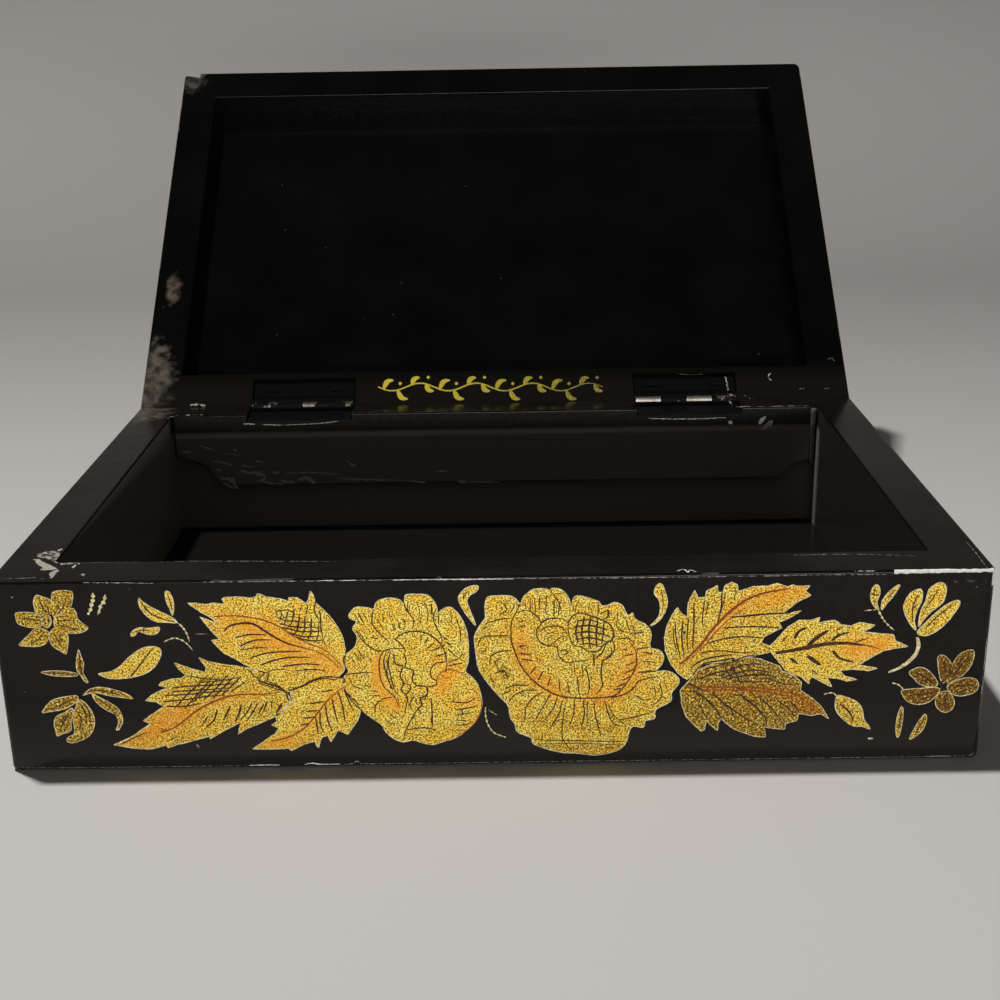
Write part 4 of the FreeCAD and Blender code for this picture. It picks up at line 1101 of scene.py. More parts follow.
# Rubbed places, in metres: middle, stretch, reach, colour
caseScuffs = [
    ((-0.087, 0.052, 0.0376), (1.0, 0.8, 1.0), 0.011, (0.085, 0.068, 0.052)),
    ((-0.0885, 0.058, 0.030), (1.0, 1.0, 0.5), 0.006, (0.08, 0.066, 0.05)),
]
lidScuffs = [
    ((-0.0875, 0.0637, 0.0432), (1.6, 0.75, 0.75), 0.015, (0.085, 0.073, 0.057)),
    ((-0.0845, 0.0850, 0.0625), (2.2, 0.9, 0.9), 0.007, (0.08, 0.066, 0.05)),
    ((-0.0865, 0.1425, 0.113), (1.0, 0.8, 0.8), 0.007, (0.06, 0.053, 0.045)),
]
finishes = {
    "caseLacquer": makeLacquer("caseLacquer", False, caseScuffs),
    "lidLacquer": makeLacquer("lidLacquer", True, lidScuffs),
    "gold": makeGold(),
    "paleGold": makePlain("paleGold", goldLook["pale"], (0.5, 0.36, 0.12), 0.45, 0.2),
    "ink": makePlain("brownInk", goldLook["ink"], (0.09, 0.035, 0.012), 0.5, 0.0),
    "red": makePlain("redInk", goldLook["red"], (0.34, 0.085, 0.012), 0.5, 0.0),
    "chalk": makePlain("chalkFlake", (0.09, 0.08, 0.065), (0.46, 0.425, 0.36), 0.75, 0.0, 2200.0, (0.32, 0.54)),
    "gesso": makePlain("gesso", (0.88, 0.86, 0.82), (0.66, 0.62, 0.55), 0.85, 0.0),
    "flake": makePlain("greyFlake", (0.02, 0.018, 0.014), (0.4, 0.365, 0.3), 0.75, 0.0, levels=(0.4, 0.58)),
    "dullFlake": makePlain("dullFlake", (0.008, 0.007, 0.006), (0.09, 0.083, 0.07), 0.75, 0.0, levels=(0.4, 0.6)),
    "glue": makePlain("driedGlue", (0.24, 0.22, 0.19), (0.09, 0.08, 0.06), 0.5, 0.0, 500.0),
    "sprayGold": makeSprayGold(),
    # The left lid leaf's metal is darker than the right one's: painted shade
    "leftLidHingeShaded": makeHingeMetal("leftLidHingeShadedMetal", (0.32, 0.29, 0.25), (0.12, 0.1, 0.08), 0.76, 0.52, 0.5),
    "rightLidHinge": makeHingeMetal("rightLidHingeMetal", (0.6, 0.56, 0.48), (0.34, 0.3, 0.24), 0.76, 0.32, 0.5),
    "caseHinge": makeHingeMetal("caseHingeMetal", (0.3, 0.27, 0.23), (0.16, 0.13, 0.1), 0.78, 0.6, 0.6),
    "pin": makePlain("pinSteel", (0.22, 0.21, 0.2), (0.12, 0.11, 0.1), 0.4, 0.9),
    "screw": makeHingeMetal("screwMetal", (0.3, 0.25, 0.17), (0.16, 0.12, 0.07), 0.66, 0.5, 0.5,
                            (0.004, 0.0036, 0.0033)),
}


def finishFor(node):
    if "lid_leaf" in node:
        return finishes["leftLidHingeShaded" if node.startswith("left") else "rightLidHinge"]
    for part, finish in (("pin", "pin"), ("screws", "screw"), ("case_leaf", "caseHinge"), ("lid", "lidLacquer")):
        if part in node:
            return finishes[finish]
    return finishes["caseLacquer"]


for nodeName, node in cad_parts.items():
    node.data.materials.clear()
    node.data.materials.append(finishFor(nodeName))
print("finishes ready")


# Ornament: motifs are laid on a surface, turned and scaled about their middle
def motifPoints(motif):
    def read(line):
        return [throughPhoto(motif["view"], point) for point in line]

    found = {"gold": [read(line) for line in motif.get("gold", [])]}
    for kind in ("ink", "red", "blush", "dim", "marks"):
        found[kind] = [(read(line), *rest) for line, *rest in motif.get(kind, [])]
    return found


drawn = {name: motifPoints(motif) for name, motif in motifs.items()}


def placed(name, centre=None, turn=0.0, scale=1.0, mirror=False):
    # A function that moves a motif's points from the front of the box to a new centre
    lines = drawn[name]["gold"] or [line for line, width, kind in drawn[name]["marks"]]
    spots = [spot for line in lines for spot in line]
    middle = Vector(((min(s.x for s in spots) + max(s.x for s in spots)) / 2,
                     (min(s.y for s in spots) + max(s.y for s in spots)) / 2))

    def move(spot):
        if centre is None:
            return spot
        away = (spot - middle) * scale
        if mirror:
            away.x = -away.x
        return Vector(centre) + Matrix.Rotation(math.radians(turn), 2) @ away

    return move


inkLift = goldWork["goldLift"] + goldWork["inkLift"] + goldWork["ridge"]


def layEdge(pale, ink, surface, laid, place, width, seamWidth, lift):
    # The pale outline of a gold patch. Where another patch covers it, a dark seam takes its place
    number, part, line = place
    covered = numpy.zeros(len(line), bool)
    for other in laid:
        if other[:2] != (number, part):
            covered |= withinOutline(line, other[2])
    if not covered.any():
        addStroke(pale, surface, line + line[:1], width, lift + goldWork["edgeLift"], closed=True)
        return
    start = int(numpy.argmax(covered))
    line, covered = line[start:] + line[:start + 1], numpy.roll(covered, -start).tolist() + [True]
    for hidden, run in splitRuns(line, covered):
        if not hidden:
            addStroke(pale, surface, run, width, lift + goldWork["edgeLift"])
        elif number > 0:
            addStroke(ink, surface, run, seamWidth, inkLift)


def refineLeaf(gold, surface, blushes, rubs):
    # Cuts the patches small enough to carry the glaze and the worn places as values at their corners
    longest = goldWork["lidMeshStep" if surface == "lidTop" else "meshStep"]
    rubLayer, blushLayer = gold.verts.layers.float["rub"], gold.verts.layers.float["blush"]
    bmesh.ops.triangulate(gold, faces=gold.faces[:])
    for step in range(goldWork["cutRounds"]):
        coarse = [edge for edge in gold.edges if edge.calc_length() > longest]
        if not coarse:
            break
        bmesh.ops.subdivide_edges(gold, edges=coarse, cuts=1)
        bmesh.ops.triangulate(gold, faces=[face for face in gold.faces if len(face.verts) > 3])
    places = numpy.array([vert.co[:] for vert in gold.verts])
    for vert, blush, rub in zip(gold.verts, nearLines(places, blushes), nearLines(places, rubs)):
        vert[blushLayer] = blush
        vert[rubLayer] = max(vert[rubLayer], rub)


def cutLeaf(outline):
    return raggedOutline(outline, goldWork["outlineStep"])


def cutPetal(outline):
    return curveThrough(outline, goldWork["outlineStep"], True)


def layOrnament(surface, plan):
    pixel, work = goldWork["pixel"], goldWork
    gold, pale, ink, red = (bmesh.new() for i in range(4))
    rubLayer = gold.verts.layers.float.new("rub")
    gold.verts.layers.float.new("blush")
    blushes, rubs, laid = [], [], []
    for number, (name, options) in enumerate(plan):
        move, cut = placed(name, **options), cutLeaf if name.startswith("leaf") else cutPetal
        for part, outline in enumerate(drawn[name]["gold"]):
            laid.append((number, part, cut([move(spot) for spot in outline])))
    for number, (name, options) in enumerate(plan):
        move, scale, motif = placed(name, **options), options.get("scale", 1.0), drawn[name]
        rub, bold = motifs[name]["rub"], motifs[name].get("bold", work["inkShare"])
        edgeWidth = work["edgeWidth"] * (work["wornEdge"] if rub > work["wornFrom"] else 1)
        for patch in [patch for patch in laid if patch[0] == number]:
            lift = work["goldLift"] + work["layerStep"] * (number % work["layers"] + patch[1])
            for vert in addPatch(gold, surface, patch[2], lift).verts:
                vert[rubLayer] = rub
            layEdge(pale, ink, surface, laid, patch, edgeWidth * scale, work["seamWidth"] * scale, lift)
        for line, width, kind in motif["marks"]:
            line = curveThrough([move(spot) for spot in line], work["markStep"])
            addStroke(pale, surface, line, width * pixel * scale, work["goldLift"] + work["edgeLift"], kind)
        for lines, mesh, share in ((motif["ink"], ink, bold), (motif["red"], red, work["redShare"])):
            for line, width in lines:
                line = curveThrough([move(spot) for spot in line], work["strokeStep"])
                addStroke(mesh, surface, line, width * pixel * share * scale, inkLift)
        for target, source, wider, share in (
                (blushes, "blush", work["glazeReach"], work["glazeShare"]), (rubs, "dim", 1, 1)):
            for line, reach, most in motif[source]:
                line = [onSurface(surface, move(spot)) for spot in line]
                target.append((line, reach * wider * pixel * scale, most * share))
    refineLeaf(gold, surface, blushes, rubs)
    body = surfaces[surface]["body"]
    leaf = finishPiece(gold, surface + "GoldLeaf", body, finishes["gold"])
    thick = leaf.modifiers.new("thickness", "SOLIDIFY")
    thick.thickness, thick.offset = work["goldSink"], -1
    for mesh, suffix, slotName, finish in (
            (pale, "GoldEdge", "gold_leaf", "paleGold"), (ink, "BrownLines", "ornament_line", "ink"),
            (red, "RedLines", "ornament_line", "red")):
        if mesh.verts:
            bmesh.ops.remove_doubles(mesh, verts=mesh.verts[:], dist=work["joinWithin"])
            finishPiece(mesh, surface + suffix, body, finishes[finish], smooth=True)
        else:
            mesh.free()


layOrnament("front", [(name, {}) for name in motifs])
print("front ornament ready")

# Chips where the white gesso shows, in mm along the front edge of the rim and on round the right corner. down and
# over: how far they reach below and beyond the rounded edge, wave: how uneven their outline is
rimChips = [
    {"from": 71.0, "to": 88.9, "down": 0.12, "over": -0.1, "wave": 0.16},
    {"from": 88.35, "to": 88.95, "down": 2.7, "over": -0.2, "wave": 0.1},
]
chipWork = {"lift": 0.03 * mm, "column": 0.22, "fewest": 6, "rows": 12, "taper": 0.12, "lowWave": (1.1, 3.1),
            "highWave": (0.9, 9.7)}


def overFrontRim(along, across):
    # across runs from the front face (below 0) round the rounded edge to the rim (above its length)
    edgeRound, cornerRound, lift = box["rimRound"], box["cornerRound"], chipWork["lift"]
    arc = edgeRound * math.pi / 2
    if across < 0:
        inward, z = -lift, box["rimZ"] - edgeRound + across
    elif across > arc:
        inward, z = edgeRound + across - arc, box["rimZ"] + lift
    else:
        inward = edgeRound - (edgeRound + lift) * math.cos(across / edgeRound)
        z = box["rimZ"] - edgeRound + (edgeRound + lift) * math.sin(across / edgeRound)
    straight = box["halfWidth"] - cornerRound
    if along < straight:
        return Vector((along, box["frontY"] + inward, z))
    turn = (along - straight) / cornerRound
    return Vector((straight + (cornerRound - inward) * math.sin(turn),
                   box["frontY"] + cornerRound - (cornerRound - inward) * math.cos(turn), z))


def layRimChips():
    mesh = bmesh.new()
    arc = box["rimRound"] * math.pi / 2
    for chip in rimChips:
        columns = max(chipWork["fewest"], round((chip["to"] - chip["from"]) / chipWork["column"]))
        strip = bmesh.ops.create_grid(mesh, x_segments=columns, y_segments=chipWork["rows"], size=0.5)["verts"]
        for vert in strip:
            share, across = vert.co.x + 0.5, vert.co.y + 0.5
            along = chip["from"] + (chip["to"] - chip["from"]) * share
            lowWave, highWave = (chip["wave"] * noise.noise(Vector((along * stretch, row, across)))
                                 for stretch, row in (chipWork["lowWave"], chipWork["highWave"]))
            low = -chip["down"] + lowWave + chipWork["taper"] * share
            high = arc / mm + chip["over"] + highWave - chipWork["taper"] * share
            vert.co = overFrontRim(along * mm, (low + (high - low) * across) * mm)
    bmesh.ops.recalc_face_normals(mesh, faces=mesh.faces[:])
    finishPiece(mesh, "frontRimGesso", "case", finishes["gesso"], smooth=True)


layRimChips()
print("rim chips ready")

# Fine worn lines by surface and enlarged view: points, width in that view's pixels, finish. The pale lines along
# the front's top edge and foot and along the rim's inner and back edges are painted highlights of the rounded edges,
# drawn like the wear
wearAndHighlightLines = [
    # Along the front's top edge, from the left corner across: a painted highlight of the rounded edge
    ("rim", "left", [
        ([(0, 181), (40, 179), (120, 176), (165, 172)], 4, "flake"), ([(185, 179), (215, 181)], 3, "flake")]),
    ("front", "left", [
        ([(380, 196), (560, 198), (705, 200)], 3, "flake"),
        ([(930, 194), (1040, 193), (1300, 190), (1568, 188)], 3, "flake")]),
    ("front", "middle", [
        ([(0, 168), (30, 167), (60, 167)], 4, "gesso"), ([(80, 167), (150, 166)], 3, "gesso"),
        ([(175, 166), (250, 166)], 3, "flake"), ([(300, 165), (380, 164)], 4, "gesso"),
        ([(380, 164), (470, 163), (610, 162), (800, 160)], 5, "gesso"),
        ([(800, 159), (1100, 157), (1560, 152)], 3.5, "flake")]),
    ("front", "right", [
        ([(0, 172), (400, 167), (800, 160), (1080, 158)], 3, "flake")]),
    # Along the front's foot: a painted reflection of the floor on the rounded foot
    ("front", "left", [
        ([(105, 1050), (400, 1056), (860, 1055), (1140, 1050)], 3, "flake"),
        ([(1150, 1047), (1220, 1043), (1290, 1046)], 6, "gesso"),
        ([(1405, 1036), (1440, 1028), (1485, 1037), (1568, 1036)], 6, "gesso")]),
    ("front", "middle", [
        ([(0, 929), (120, 932), (155, 912), (190, 928), (420, 922)], 4, "flake"),
        ([(420, 922), (870, 916), (1200, 914), (1560, 916)], 3, "flake")]),
    ("front", "right", [
        ([(0, 1021), (400, 1020), (800, 1018), (1220, 1013)], 3, "flake"),
        ([(1220, 1013), (1330, 1010), (1400, 1004), (1432, 992), (1444, 980)], 5, "flake")]),
    ("front", "left", [
        ([(596, 222), (602, 230)], 5, "flake"), ([(906, 942), (922, 962)], 7, "flake"),
        ([(50, 262), (68, 270)], 6, "flake"), ([(898, 432), (955, 434)], 3, "flake")]),
    ("front", "right", [
        ([(1355, 190), (1378, 197)], 8, "dullFlake"), ([(1409, 180), (1448, 201)], 12, "dullFlake"),
        ([(1418, 194), (1452, 188)], 9, "dullFlake"), ([(1490, 182), (1505, 196)], 12, "dullFlake"),
        ([(1452, 214), (1464, 220)], 8, "flake")]),
    ("frontRightCorner", "right", [
        ([(1490, 465), (1484, 600)], 7, "gesso"), ([(1523, 150), (1528, 214)], 8, "gesso"),
        ([(1482, 620), (1478, 668)], 5, "flake"), ([(1476, 672), (1474, 715)], 7, "gesso")]),
    # The last line here runs along the rim's inner front edge: a painted highlight
    ("rim", "right", [
        ([(78, 143), (112, 136), (128, 150), (140, 139), (167, 147)], 6, "gesso"),
        ([(1408, 4), (1450, 52), (1500, 118), (1512, 134)], 3, "flake"),
        ([(905, 152), (970, 146), (1010, 152)], 4, "flake"), ([(610, 70), (900, 66), (1185, 74)], 3, "flake")]),
    # The last line here runs along the rim's inner front edge: a painted highlight
    ("rim", "left", [
        ([(372, 160), (390, 166)], 7, "flake"), ([(330, 108), (362, 104)], 4, "flake"),
        ([(360, 98), (900, 98), (1560, 100)], 2.5, "flake")]),
    ("batten", "backLeft", [
        ([(385, 628), (430, 632), (442, 655), (460, 674)], 16, "gesso"),
        ([(392, 652), (420, 662), (446, 668)], 10, "gesso"),
        ([(468, 592), (500, 606), (545, 605), (572, 628), (545, 640)], 14, "gesso"),
        ([(530, 612), (560, 618)], 9, "gesso"), ([(606, 600), (632, 608)], 14, "gesso"),
        ([(640, 640), (700, 644)], 10, "gesso"), ([(712, 632), (750, 630), (786, 650)], 15, "gesso"),
        ([(560, 642), (600, 650), (650, 654)], 9, "gesso"), ([(348, 556), (390, 562), (432, 572)], 9, "gesso"),
        ([(366, 590), (392, 598)], 10, "gesso"), ([(300, 492), (356, 508)], 8, "gesso"),
        ([(222, 516), (262, 520)], 9, "gesso"), ([(436, 506), (458, 511)], 8, "gesso"),
        ([(530, 556), (566, 560)], 7, "gesso"), ([(660, 606), (780, 604), (880, 614)], 6, "gesso"),
        ([(915, 552), (940, 570), (962, 574)], 8, "gesso"), ([(880, 628), (1010, 634), (1170, 638)], 7, "gesso"),
        ([(1180, 640), (1250, 645)], 8, "gesso"), ([(1290, 600), (1345, 596)], 6, "gesso"),
        ([(1385, 641), (1435, 644)], 8, "gesso"), ([(1435, 644), (1568, 645)], 6, "gesso"),
        ([(400, 522), (470, 530)], 5, "gesso"), ([(470, 574), (520, 580)], 6, "gesso")]),
    # Along the rim's back edge: painted highlights
    ("rim", "backRight", [
        ([(900, 400), (935, 397), (970, 396)], 10, "flake"), ([(970, 395), (1120, 392), (1270, 390)], 5, "flake")]),
    ("rim", "backLeft", [
        ([(180, 375), (240, 372), (300, 377)], 8, "flake")]),
    ("batten", "backLeft", [
        ([(480, 398), (530, 400)], 6, "gesso"), ([(560, 401), (640, 403)], 4, "gesso"),
        ([(640, 403), (800, 396), (880, 386)], 3, "gesso")]),
    ("rim", "backLeft", [
        ([(900, 372), (960, 368), (1010, 358), (1075, 340)], 4, "dullFlake"),
        ([(1190, 362), (1400, 360), (1568, 358)], 3, "dullFlake")]),
    ("batten", "backRight", [
        ([(445, 447), (640, 450), (840, 443)], 4, "gesso")]),
    ("lidPlate", "backRight", [
        ([(836, 235), (843, 265), (850, 305)], 9, "flake")]),
    ("barrel", "backRight", [
        ([(848, 322), (868, 330), (890, 334)], 8, "flake"), ([(850, 350), (862, 364), (874, 382)], 7, "flake")]),
    ("lidRim", "backRight", [
        ([(595, 222), (660, 226), (730, 222)], 3, "dullFlake"),
        ([(1070, 256), (1056, 244), (1056, 226), (1068, 218)], 5, "flake"),
        ([(930, 330), (952, 338), (966, 352)], 6, "dullFlake"), ([(966, 352), (982, 340)], 5, "dullFlake"),
        ([(1208, 298), (1236, 294)], 5, "dullFlake"), ([(1338, 298), (1366, 294)], 6, "dullFlake"),
        ([(1354, 150), (1370, 142), (1390, 158)], 6, "dullFlake")]),
    ("lidRim", "backLeft", [
        ([(250, 318), (285, 315), (320, 320)], 9, "flake")]),
]

# Flakes and chips with their own outlines: surface, enlarged view, finish, outlines
flakes = [
    ("rim", "corner", "chalk", [
        [(572, 342), (612, 348), (669, 347), (742, 392), (857, 445), (987, 510), (915, 532), (828, 534), (698, 530),
         (740, 488), (668, 452), (626, 409), (600, 368)],
        [(857, 582), (915, 553), (1001, 525), (1008, 542), (958, 611), (915, 654), (880, 672), (857, 625)],
        [(987, 190), (1059, 164), (1084, 178), (1032, 202)],
        [(1248, 480), (1290, 440), (1332, 438), (1304, 478), (1262, 496)],
        [(1131, 402), (1200, 388), (1250, 394), (1190, 408)], [(1338, 402), (1362, 394), (1374, 432), (1348, 428)],
        [(1403, 612), (1450, 595), (1472, 612), (1432, 626)]]),
    ("rim", "corner", "flake", [
        [(626, 279), (713, 236), (799, 214), (915, 200), (975, 208), (1040, 262), (1052, 330), (1020, 400),
         (975, 402), (900, 372), (799, 332), (700, 318)],
        [(1040, 420), (1130, 412), (1300, 402), (1290, 414), (1150, 440), (1060, 448)]]),
    ("batten", "backRight", "gesso", [
        [(1003, 470), (1018, 445), (1042, 438), (1030, 462), (1012, 478)],
        [(850, 462), (868, 460), (872, 474), (856, 476)]]),
    ("batten", "backRight", "chalk", [
        [(1016, 500), (1040, 474), (1070, 456), (1076, 470), (1050, 500), (1030, 510)]]),
    ("rim", "backLeft", "gesso", [
        [(1122, 356), (1150, 352), (1172, 360), (1150, 370), (1128, 368)]]),
]

# farPixel: how much larger a pixel of the views of the back is, measured on the box
wearAndHighlightWork = {
    "farPixel": 1.45, "lineStep": 0.22 * mm, "lineLift": 0.03 * mm, "flakeStep": 0.3 * mm, "ragStep": 0.14 * mm,
    "raggedness": 0.16 * mm, "flakeLift": 0.01 * mm, "flakeThick": 0.05 * mm,
}


def layWearAndHighlights():
    # One piece for each body and finish, so the wear and the painted highlights move with what they are on
    work, meshes = wearAndHighlightWork, {}

    def meshFor(surface, finish):
        key = surfaces[surface]["body"], finish
        if key not in meshes:
            meshes[key] = bmesh.new()
        return meshes[key]

    for surface, view, lines in wearAndHighlightLines:
        for points, width, finish in lines:
            wide = width * goldWork["pixel"] * (work["farPixel"] if view.startswith("back") else 1)
            spots = [keptOn(surface, throughPhoto(view, point, surface), wide / 2) for point in points]
            line = curveThrough(spots, work["lineStep"])
            addStroke(meshFor(surface, finish), surface, line, wide, work["lineLift"], "worn")
    for surface, view, finish, outlines in flakes:
        mesh = meshFor(surface, finish)
        for outline in outlines:
            spots = [throughPhoto(view, point, surface) for point in outline]
            spots = raggedOutline(curveThrough(spots, work["flakeStep"], True), work["ragStep"], work["raggedness"])
            face = addPatch(mesh, surface, spots, work["flakeLift"])
            raised = bmesh.ops.extrude_discrete_faces(mesh, faces=[face])["faces"]
            thickness = surfaces[surface]["outward"] * work["flakeThick"]
            bmesh.ops.translate(mesh, verts=list(raised[0].verts), vec=thickness)
    for (body, finish), mesh in meshes.items():
        finishPiece(mesh, body + "WearAndHighlights" + finish[0].upper() + finish[1:], body, finishes[finish])


layWearAndHighlights()

# A run of glue down the inner right corner, beside the batten
glueBead = {"corner": (78.5 * mm, 49.15 * mm), "top": 37.1 * mm, "length": 14.4 * mm, "wide": 0.7 * mm,
            "narrow": 0.5 * mm, "sides": 10, "cuts": 16, "lumps": 0.35, "lumpScale": 450}


def makeGlueBead():
    mesh, bead = bmesh.new(), glueBead
    bmesh.ops.create_cone(mesh, segments=bead["sides"], radius1=bead["narrow"], radius2=bead["wide"],
                          depth=bead["length"], cap_ends=True)
    tall = [edge for edge in mesh.edges if abs(edge.verts[0].co.z - edge.verts[1].co.z) > bead["length"] / 2]
    bmesh.ops.subdivide_edges(mesh, edges=tall, cuts=bead["cuts"])
    for vert in mesh.verts:
        shake = 1 + bead["lumps"] * noise.noise(Vector((0, 0, vert.co.z * bead["lumpScale"])))
        vert.co.x, vert.co.y = vert.co.x * shake, vert.co.y * shake
    bmesh.ops.translate(mesh, verts=mesh.verts, vec=(*bead["corner"], bead["top"] - bead["length"] / 2))
    finishPiece(mesh, "glueBead", "case", finishes["glue"], smooth=True)


makeGlueBead()
print("wear ready")

# A painted spray between the hinges, on the rim of the lid: a waving stem with leaves and berries. Places and the
# leaves' length are in pixels of the photograph. bend and tip: places along and beside the stem, as shares of the
# leaf's length, berryAway: the same for a berry, in pixels
rimSpray = {
    "from": 378, "to": 603, "height": 387, "waves": 4, "sway": 3.8, "stemParts": 40, "stem": 0.45 * mm,
    "leafStart": 0.4, "leafLong": 12.0, "shorter": 0.8, "leafWide": 1.35 * mm, "bend": (0.3, 0.62), "tip": (0.85, 0.75),
    "berry": 1.0 * mm, "berryAway": (2.5, -6.5), "berryHalf": 1.6, "lift": 0.03 * mm, "leafLift": 0.036 * mm,
    "stemStep": 0.5 * mm, "leafStep": 0.2 * mm, "berryStep": 0.12 * mm,
}


def makeRimSpray():
    plan = rimSpray
    mesh = bmesh.new()

    def stemPoint(share):
        return (plan["from"] + (plan["to"] - plan["from"]) * share,
                plan["height"] + plan["sway"] * math.sin(share * plan["waves"] * 2 * math.pi))

    def paint(points, step, width, lift, kind="plain"):
        spots = [throughPhoto("whole", point, "lidRim") for point in points]
        addStroke(mesh, "lidRim", curveThrough(spots, step), width, lift, kind)

    stem = [stemPoint(i / plan["stemParts"]) for i in range(plan["stemParts"] + 1)]
    paint(stem, plan["stemStep"], plan["stem"], plan["lift"])
    leaves = plan["waves"] * 4
    for k in range(leaves):
        x, y = stemPoint((k + plan["leafStart"]) / leaves)
        side = 1 if k % 2 else -1
        long = plan["leafLong"] * (1 if k % 4 < 2 else plan["shorter"])
        bend, tip = ((x + long * along, y + side * long * away) for along, away in (plan["bend"], plan["tip"]))
        paint([(x, y), bend, tip], plan["leafStep"], plan["leafWide"], plan["leafLift"], "leaf")
        if k % 2:
            berryX, berryY = x + plan["berryAway"][0], y + side * plan["berryAway"][1]
            ends = [(berryX - plan["berryHalf"], berryY), (berryX + plan["berryHalf"], berryY)]
            paint(ends, plan["berryStep"], plan["berry"], plan["leafLift"], "leaf")
    finishPiece(mesh, "rimSpray", "lid", finishes["sprayGold"], smooth=True)


makeRimSpray()
print("rim spray ready")

# The faces that the photograph doesn't show carry the same flowers
sideLeaves = [
    ("leafOne", {"centre": (-0.027, 0.0205), "scale": 0.85}),
    ("leafFour", {"centre": (0.026, 0.021), "scale": 0.85}),
]
hiddenPlans = {
    "lidTop": [
        ("leafOne", {"centre": (-0.056, -0.044), "scale": 1.25, "turn": 8}),
        ("leafTwo", {"centre": (-0.058, -0.079), "scale": 1.2, "turn": 10}),
        ("leafThree", {"centre": (-0.026, -0.090), "scale": 1.2, "turn": 14}),
        ("leafThree", {"centre": (-0.020, -0.024), "scale": 1.15, "turn": -150}),
        ("leafFour", {"centre": (0.056, -0.034), "scale": 1.25, "turn": 14}),
        ("leafFive", {"centre": (0.066, -0.062), "scale": 1.1, "turn": -6}),
        ("leafSix", {"centre": (0.052, -0.086), "scale": 1.2, "turn": -12}),
        ("leftPeony", {"centre": (-0.024, -0.056), "scale": 1.45}),
        ("rightPeony", {"centre": (0.017, -0.058), "scale": 1.4}),
        ("leftBlossom", {"centre": (-0.074, -0.018), "scale": 1.2}),
        ("rightBlossom", {"centre": (0.074, -0.100), "scale": 1.2, "turn": 30}),
        ("threePetalBud", {"centre": (0.074, -0.014), "scale": 1.1}),
        ("rosebud", {"centre": (-0.072, -0.102), "scale": 1.1}),
        ("topSprigLeft", {"centre": (-0.046, -0.014), "scale": 1.1}),
        ("smallLeaf", {"centre": (0.012, -0.104), "scale": 1.3, "turn": 60}),
        ("topSprigRight", {"centre": (0.034, -0.012), "scale": 1.1}),
        ("commaLeaf", {"centre": (0.040, -0.106), "scale": 1.0}),
    ],
    "right": sideLeaves + [
        ("leftPeony", {"centre": (0, 0.019), "scale": 0.9}),
        ("leftBlossom", {"centre": (-0.049, 0.020), "scale": 0.9}),
        ("rosebud", {"centre": (0.048, 0.018), "scale": 0.8, "mirror": True}),
    ],
    "left": sideLeaves + [
        ("rightPeony", {"centre": (0, 0.019), "scale": 0.82}),
        ("rosebud", {"centre": (-0.048, 0.018), "scale": 0.8}),
        ("rightBlossom", {"centre": (0.049, 0.019), "scale": 0.9}),
    ],
    "back": [
        ("leafOne", {"centre": (-0.024, 0.0175), "scale": 0.75}),
        ("leafFour", {"centre": (0.024, 0.0175), "scale": 0.75}),
        ("leftBlossom", {"centre": (0, 0.0175), "scale": 1.2}),
        ("commaLeaf", {"centre": (-0.052, 0.017), "scale": 0.9}),
        ("smallLeaf", {"centre": (0.052, 0.017), "scale": 0.9, "turn": 60}),
    ],
}
for surface, plan in hiddenPlans.items():
    layOrnament(surface, plan)
print("hidden faces ready")

# Floor and backdrop. far and top: darker colours towards the back and up the wall, a painted shade that stands in
# for the light falling off there; backFrom, paintedTopFrom: where they come in
studio = {
    "near": (0.60, 0.575, 0.55), "far": (0.31, 0.292, 0.277), "top": (0.118, 0.109, 0.104),
    "floorReach": 0.42, "width": 8.0, "front": -1.2, "height": 1.6, "curve": 0.25, "curveSteps": 12,
    "backFrom": (-0.15, 0.42), "paintedTopFrom": (0.05, 0.35), "rough": 0.9,
}


def makeStudioPaper():
    material, tree, shader, place = newFinish("studioPaper", Roughness=studio["rough"])
    spot = partsOf(tree, place)
    back = rangeNode(tree, spot[1], *studio["backFrom"], kind="SMOOTHSTEP")
    rise = rangeNode(tree, spot[2], *studio["paintedTopFrom"], kind="SMOOTHSTEP")
    # Darker towards the back and up the wall: painted shade
    colour = mixColours(tree, rise, mixColours(tree, back, studio["near"], studio["far"]), studio["top"])
    tree.links.new(colour, shader.inputs["Base Color"])
    return material


def makeStage():
    mesh, curve = bmesh.new(), studio["curve"]
    floorLine = [(studio["front"], 0.0), (studio["floorReach"], 0.0)]
    for step in range(1, studio["curveSteps"] + 1):
        turn = math.pi / 2 * step / studio["curveSteps"]
        floorLine.append((studio["floorReach"] + curve * math.sin(turn), curve * (1 - math.cos(turn))))
    floorLine.append((studio["floorReach"] + curve, studio["height"]))
    row = [mesh.verts.new((-studio["width"] / 2, y, z)) for y, z in floorLine]
    edges = [mesh.edges.new(pair) for pair in zip(row, row[1:])]
    for item in bmesh.ops.extrude_edge_only(mesh, edges=edges)["geom"]:
        if isinstance(item, bmesh.types.BMVert):
            item.co.x += studio["width"]
    bmesh.ops.recalc_face_normals(mesh, faces=mesh.faces[:])
    addObject(mesh, "studioSweep", makeStudioPaper(), True)


makeStage()

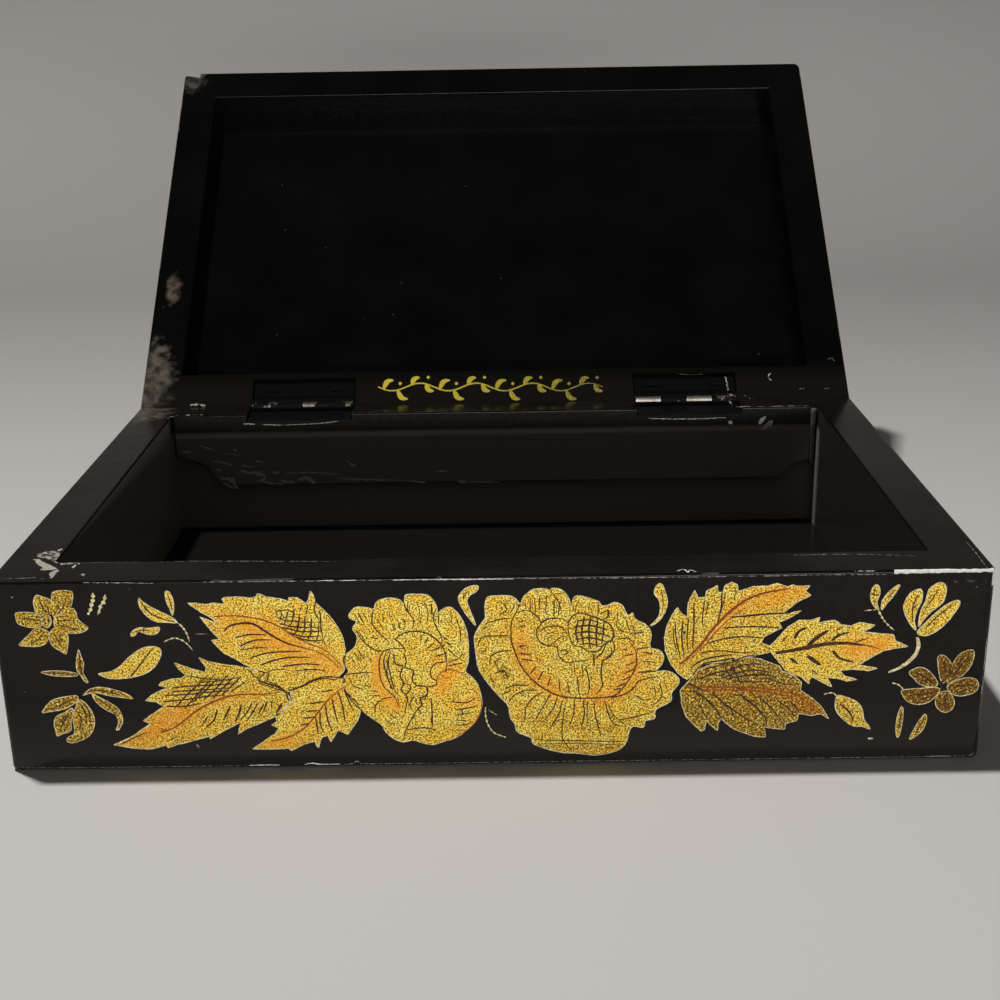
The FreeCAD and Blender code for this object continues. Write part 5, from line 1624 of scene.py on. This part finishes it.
# Lamps: place, what they point at, size and power. The overhead lamp stays out of reflections, because the lid's
# inner face mirrors the place where it hangs
lamps = {
    "overhead": {"place": (-0.28, 0.09, 1.2), "aim": (0, 0, 0), "size": (0.055, 0.055), "watts": 13.2,
                 "mirrored": False},
    "front": {"place": (0.22, -2.2, 0.092), "aim": (0, 0, 0.03), "size": (1.36, 0.16), "watts": 22.5,
              "mirrored": True},
}
# The sky as the camera and reflections see it: its strength at the horizon and overhead, and where it changes
skyLook = {"low": 0.05, "high": 0.5, "horizon": 0.26, "overhead": 0.045, "colour": (1.0, 0.985, 0.97)}


def makeLamps():
    for name, lamp in lamps.items():
        data = bpy.data.lights.new(name + "Lamp", "AREA")
        data.shape, data.energy = "RECTANGLE", lamp["watts"]
        data.size, data.size_y = lamp["size"]
        light = bpy.data.objects.new(name + "Lamp", data)
        light.visible_glossy, light.visible_camera = lamp["mirrored"], False
        bpy.context.collection.objects.link(light)
        aim = Vector(lamp["aim"]) - Vector(lamp["place"])
        light.matrix_world = Matrix.Translation(lamp["place"]) @ aim.to_track_quat("-Z", "Y").to_matrix().to_4x4()


def makeSky():
    world = bpy.data.worlds.new("studioWorld")
    bpy.context.scene.world = world
    world.use_nodes = True
    tree = world.node_tree
    sky = tree.nodes["Background"]
    sky.inputs["Color"].default_value = (*skyLook["colour"], 1)
    way = partsOf(tree, tree.nodes.new("ShaderNodeTexCoord").outputs["Generated"])
    horizon = rangeNode(tree, way[2], *(skyLook[name] for name in ("low", "high", "horizon", "overhead")))
    ray = tree.nodes.new("ShaderNodeLightPath").outputs
    seen = mathNode(tree, "MAXIMUM", mathNode(tree, "MAXIMUM", ray["Is Camera Ray"], ray["Is Glossy Ray"]),
                    ray["Is Transmission Ray"])
    strength = addNode(tree, "ShaderNodeMix", {0: seen, 2: skyLook["overhead"], 3: horizon})
    tree.links.new(strength.outputs[0], sky.inputs["Strength"])


makeLamps()
makeSky()
bpy.context.scene.view_settings.view_transform = "Standard"
print("studio ready")
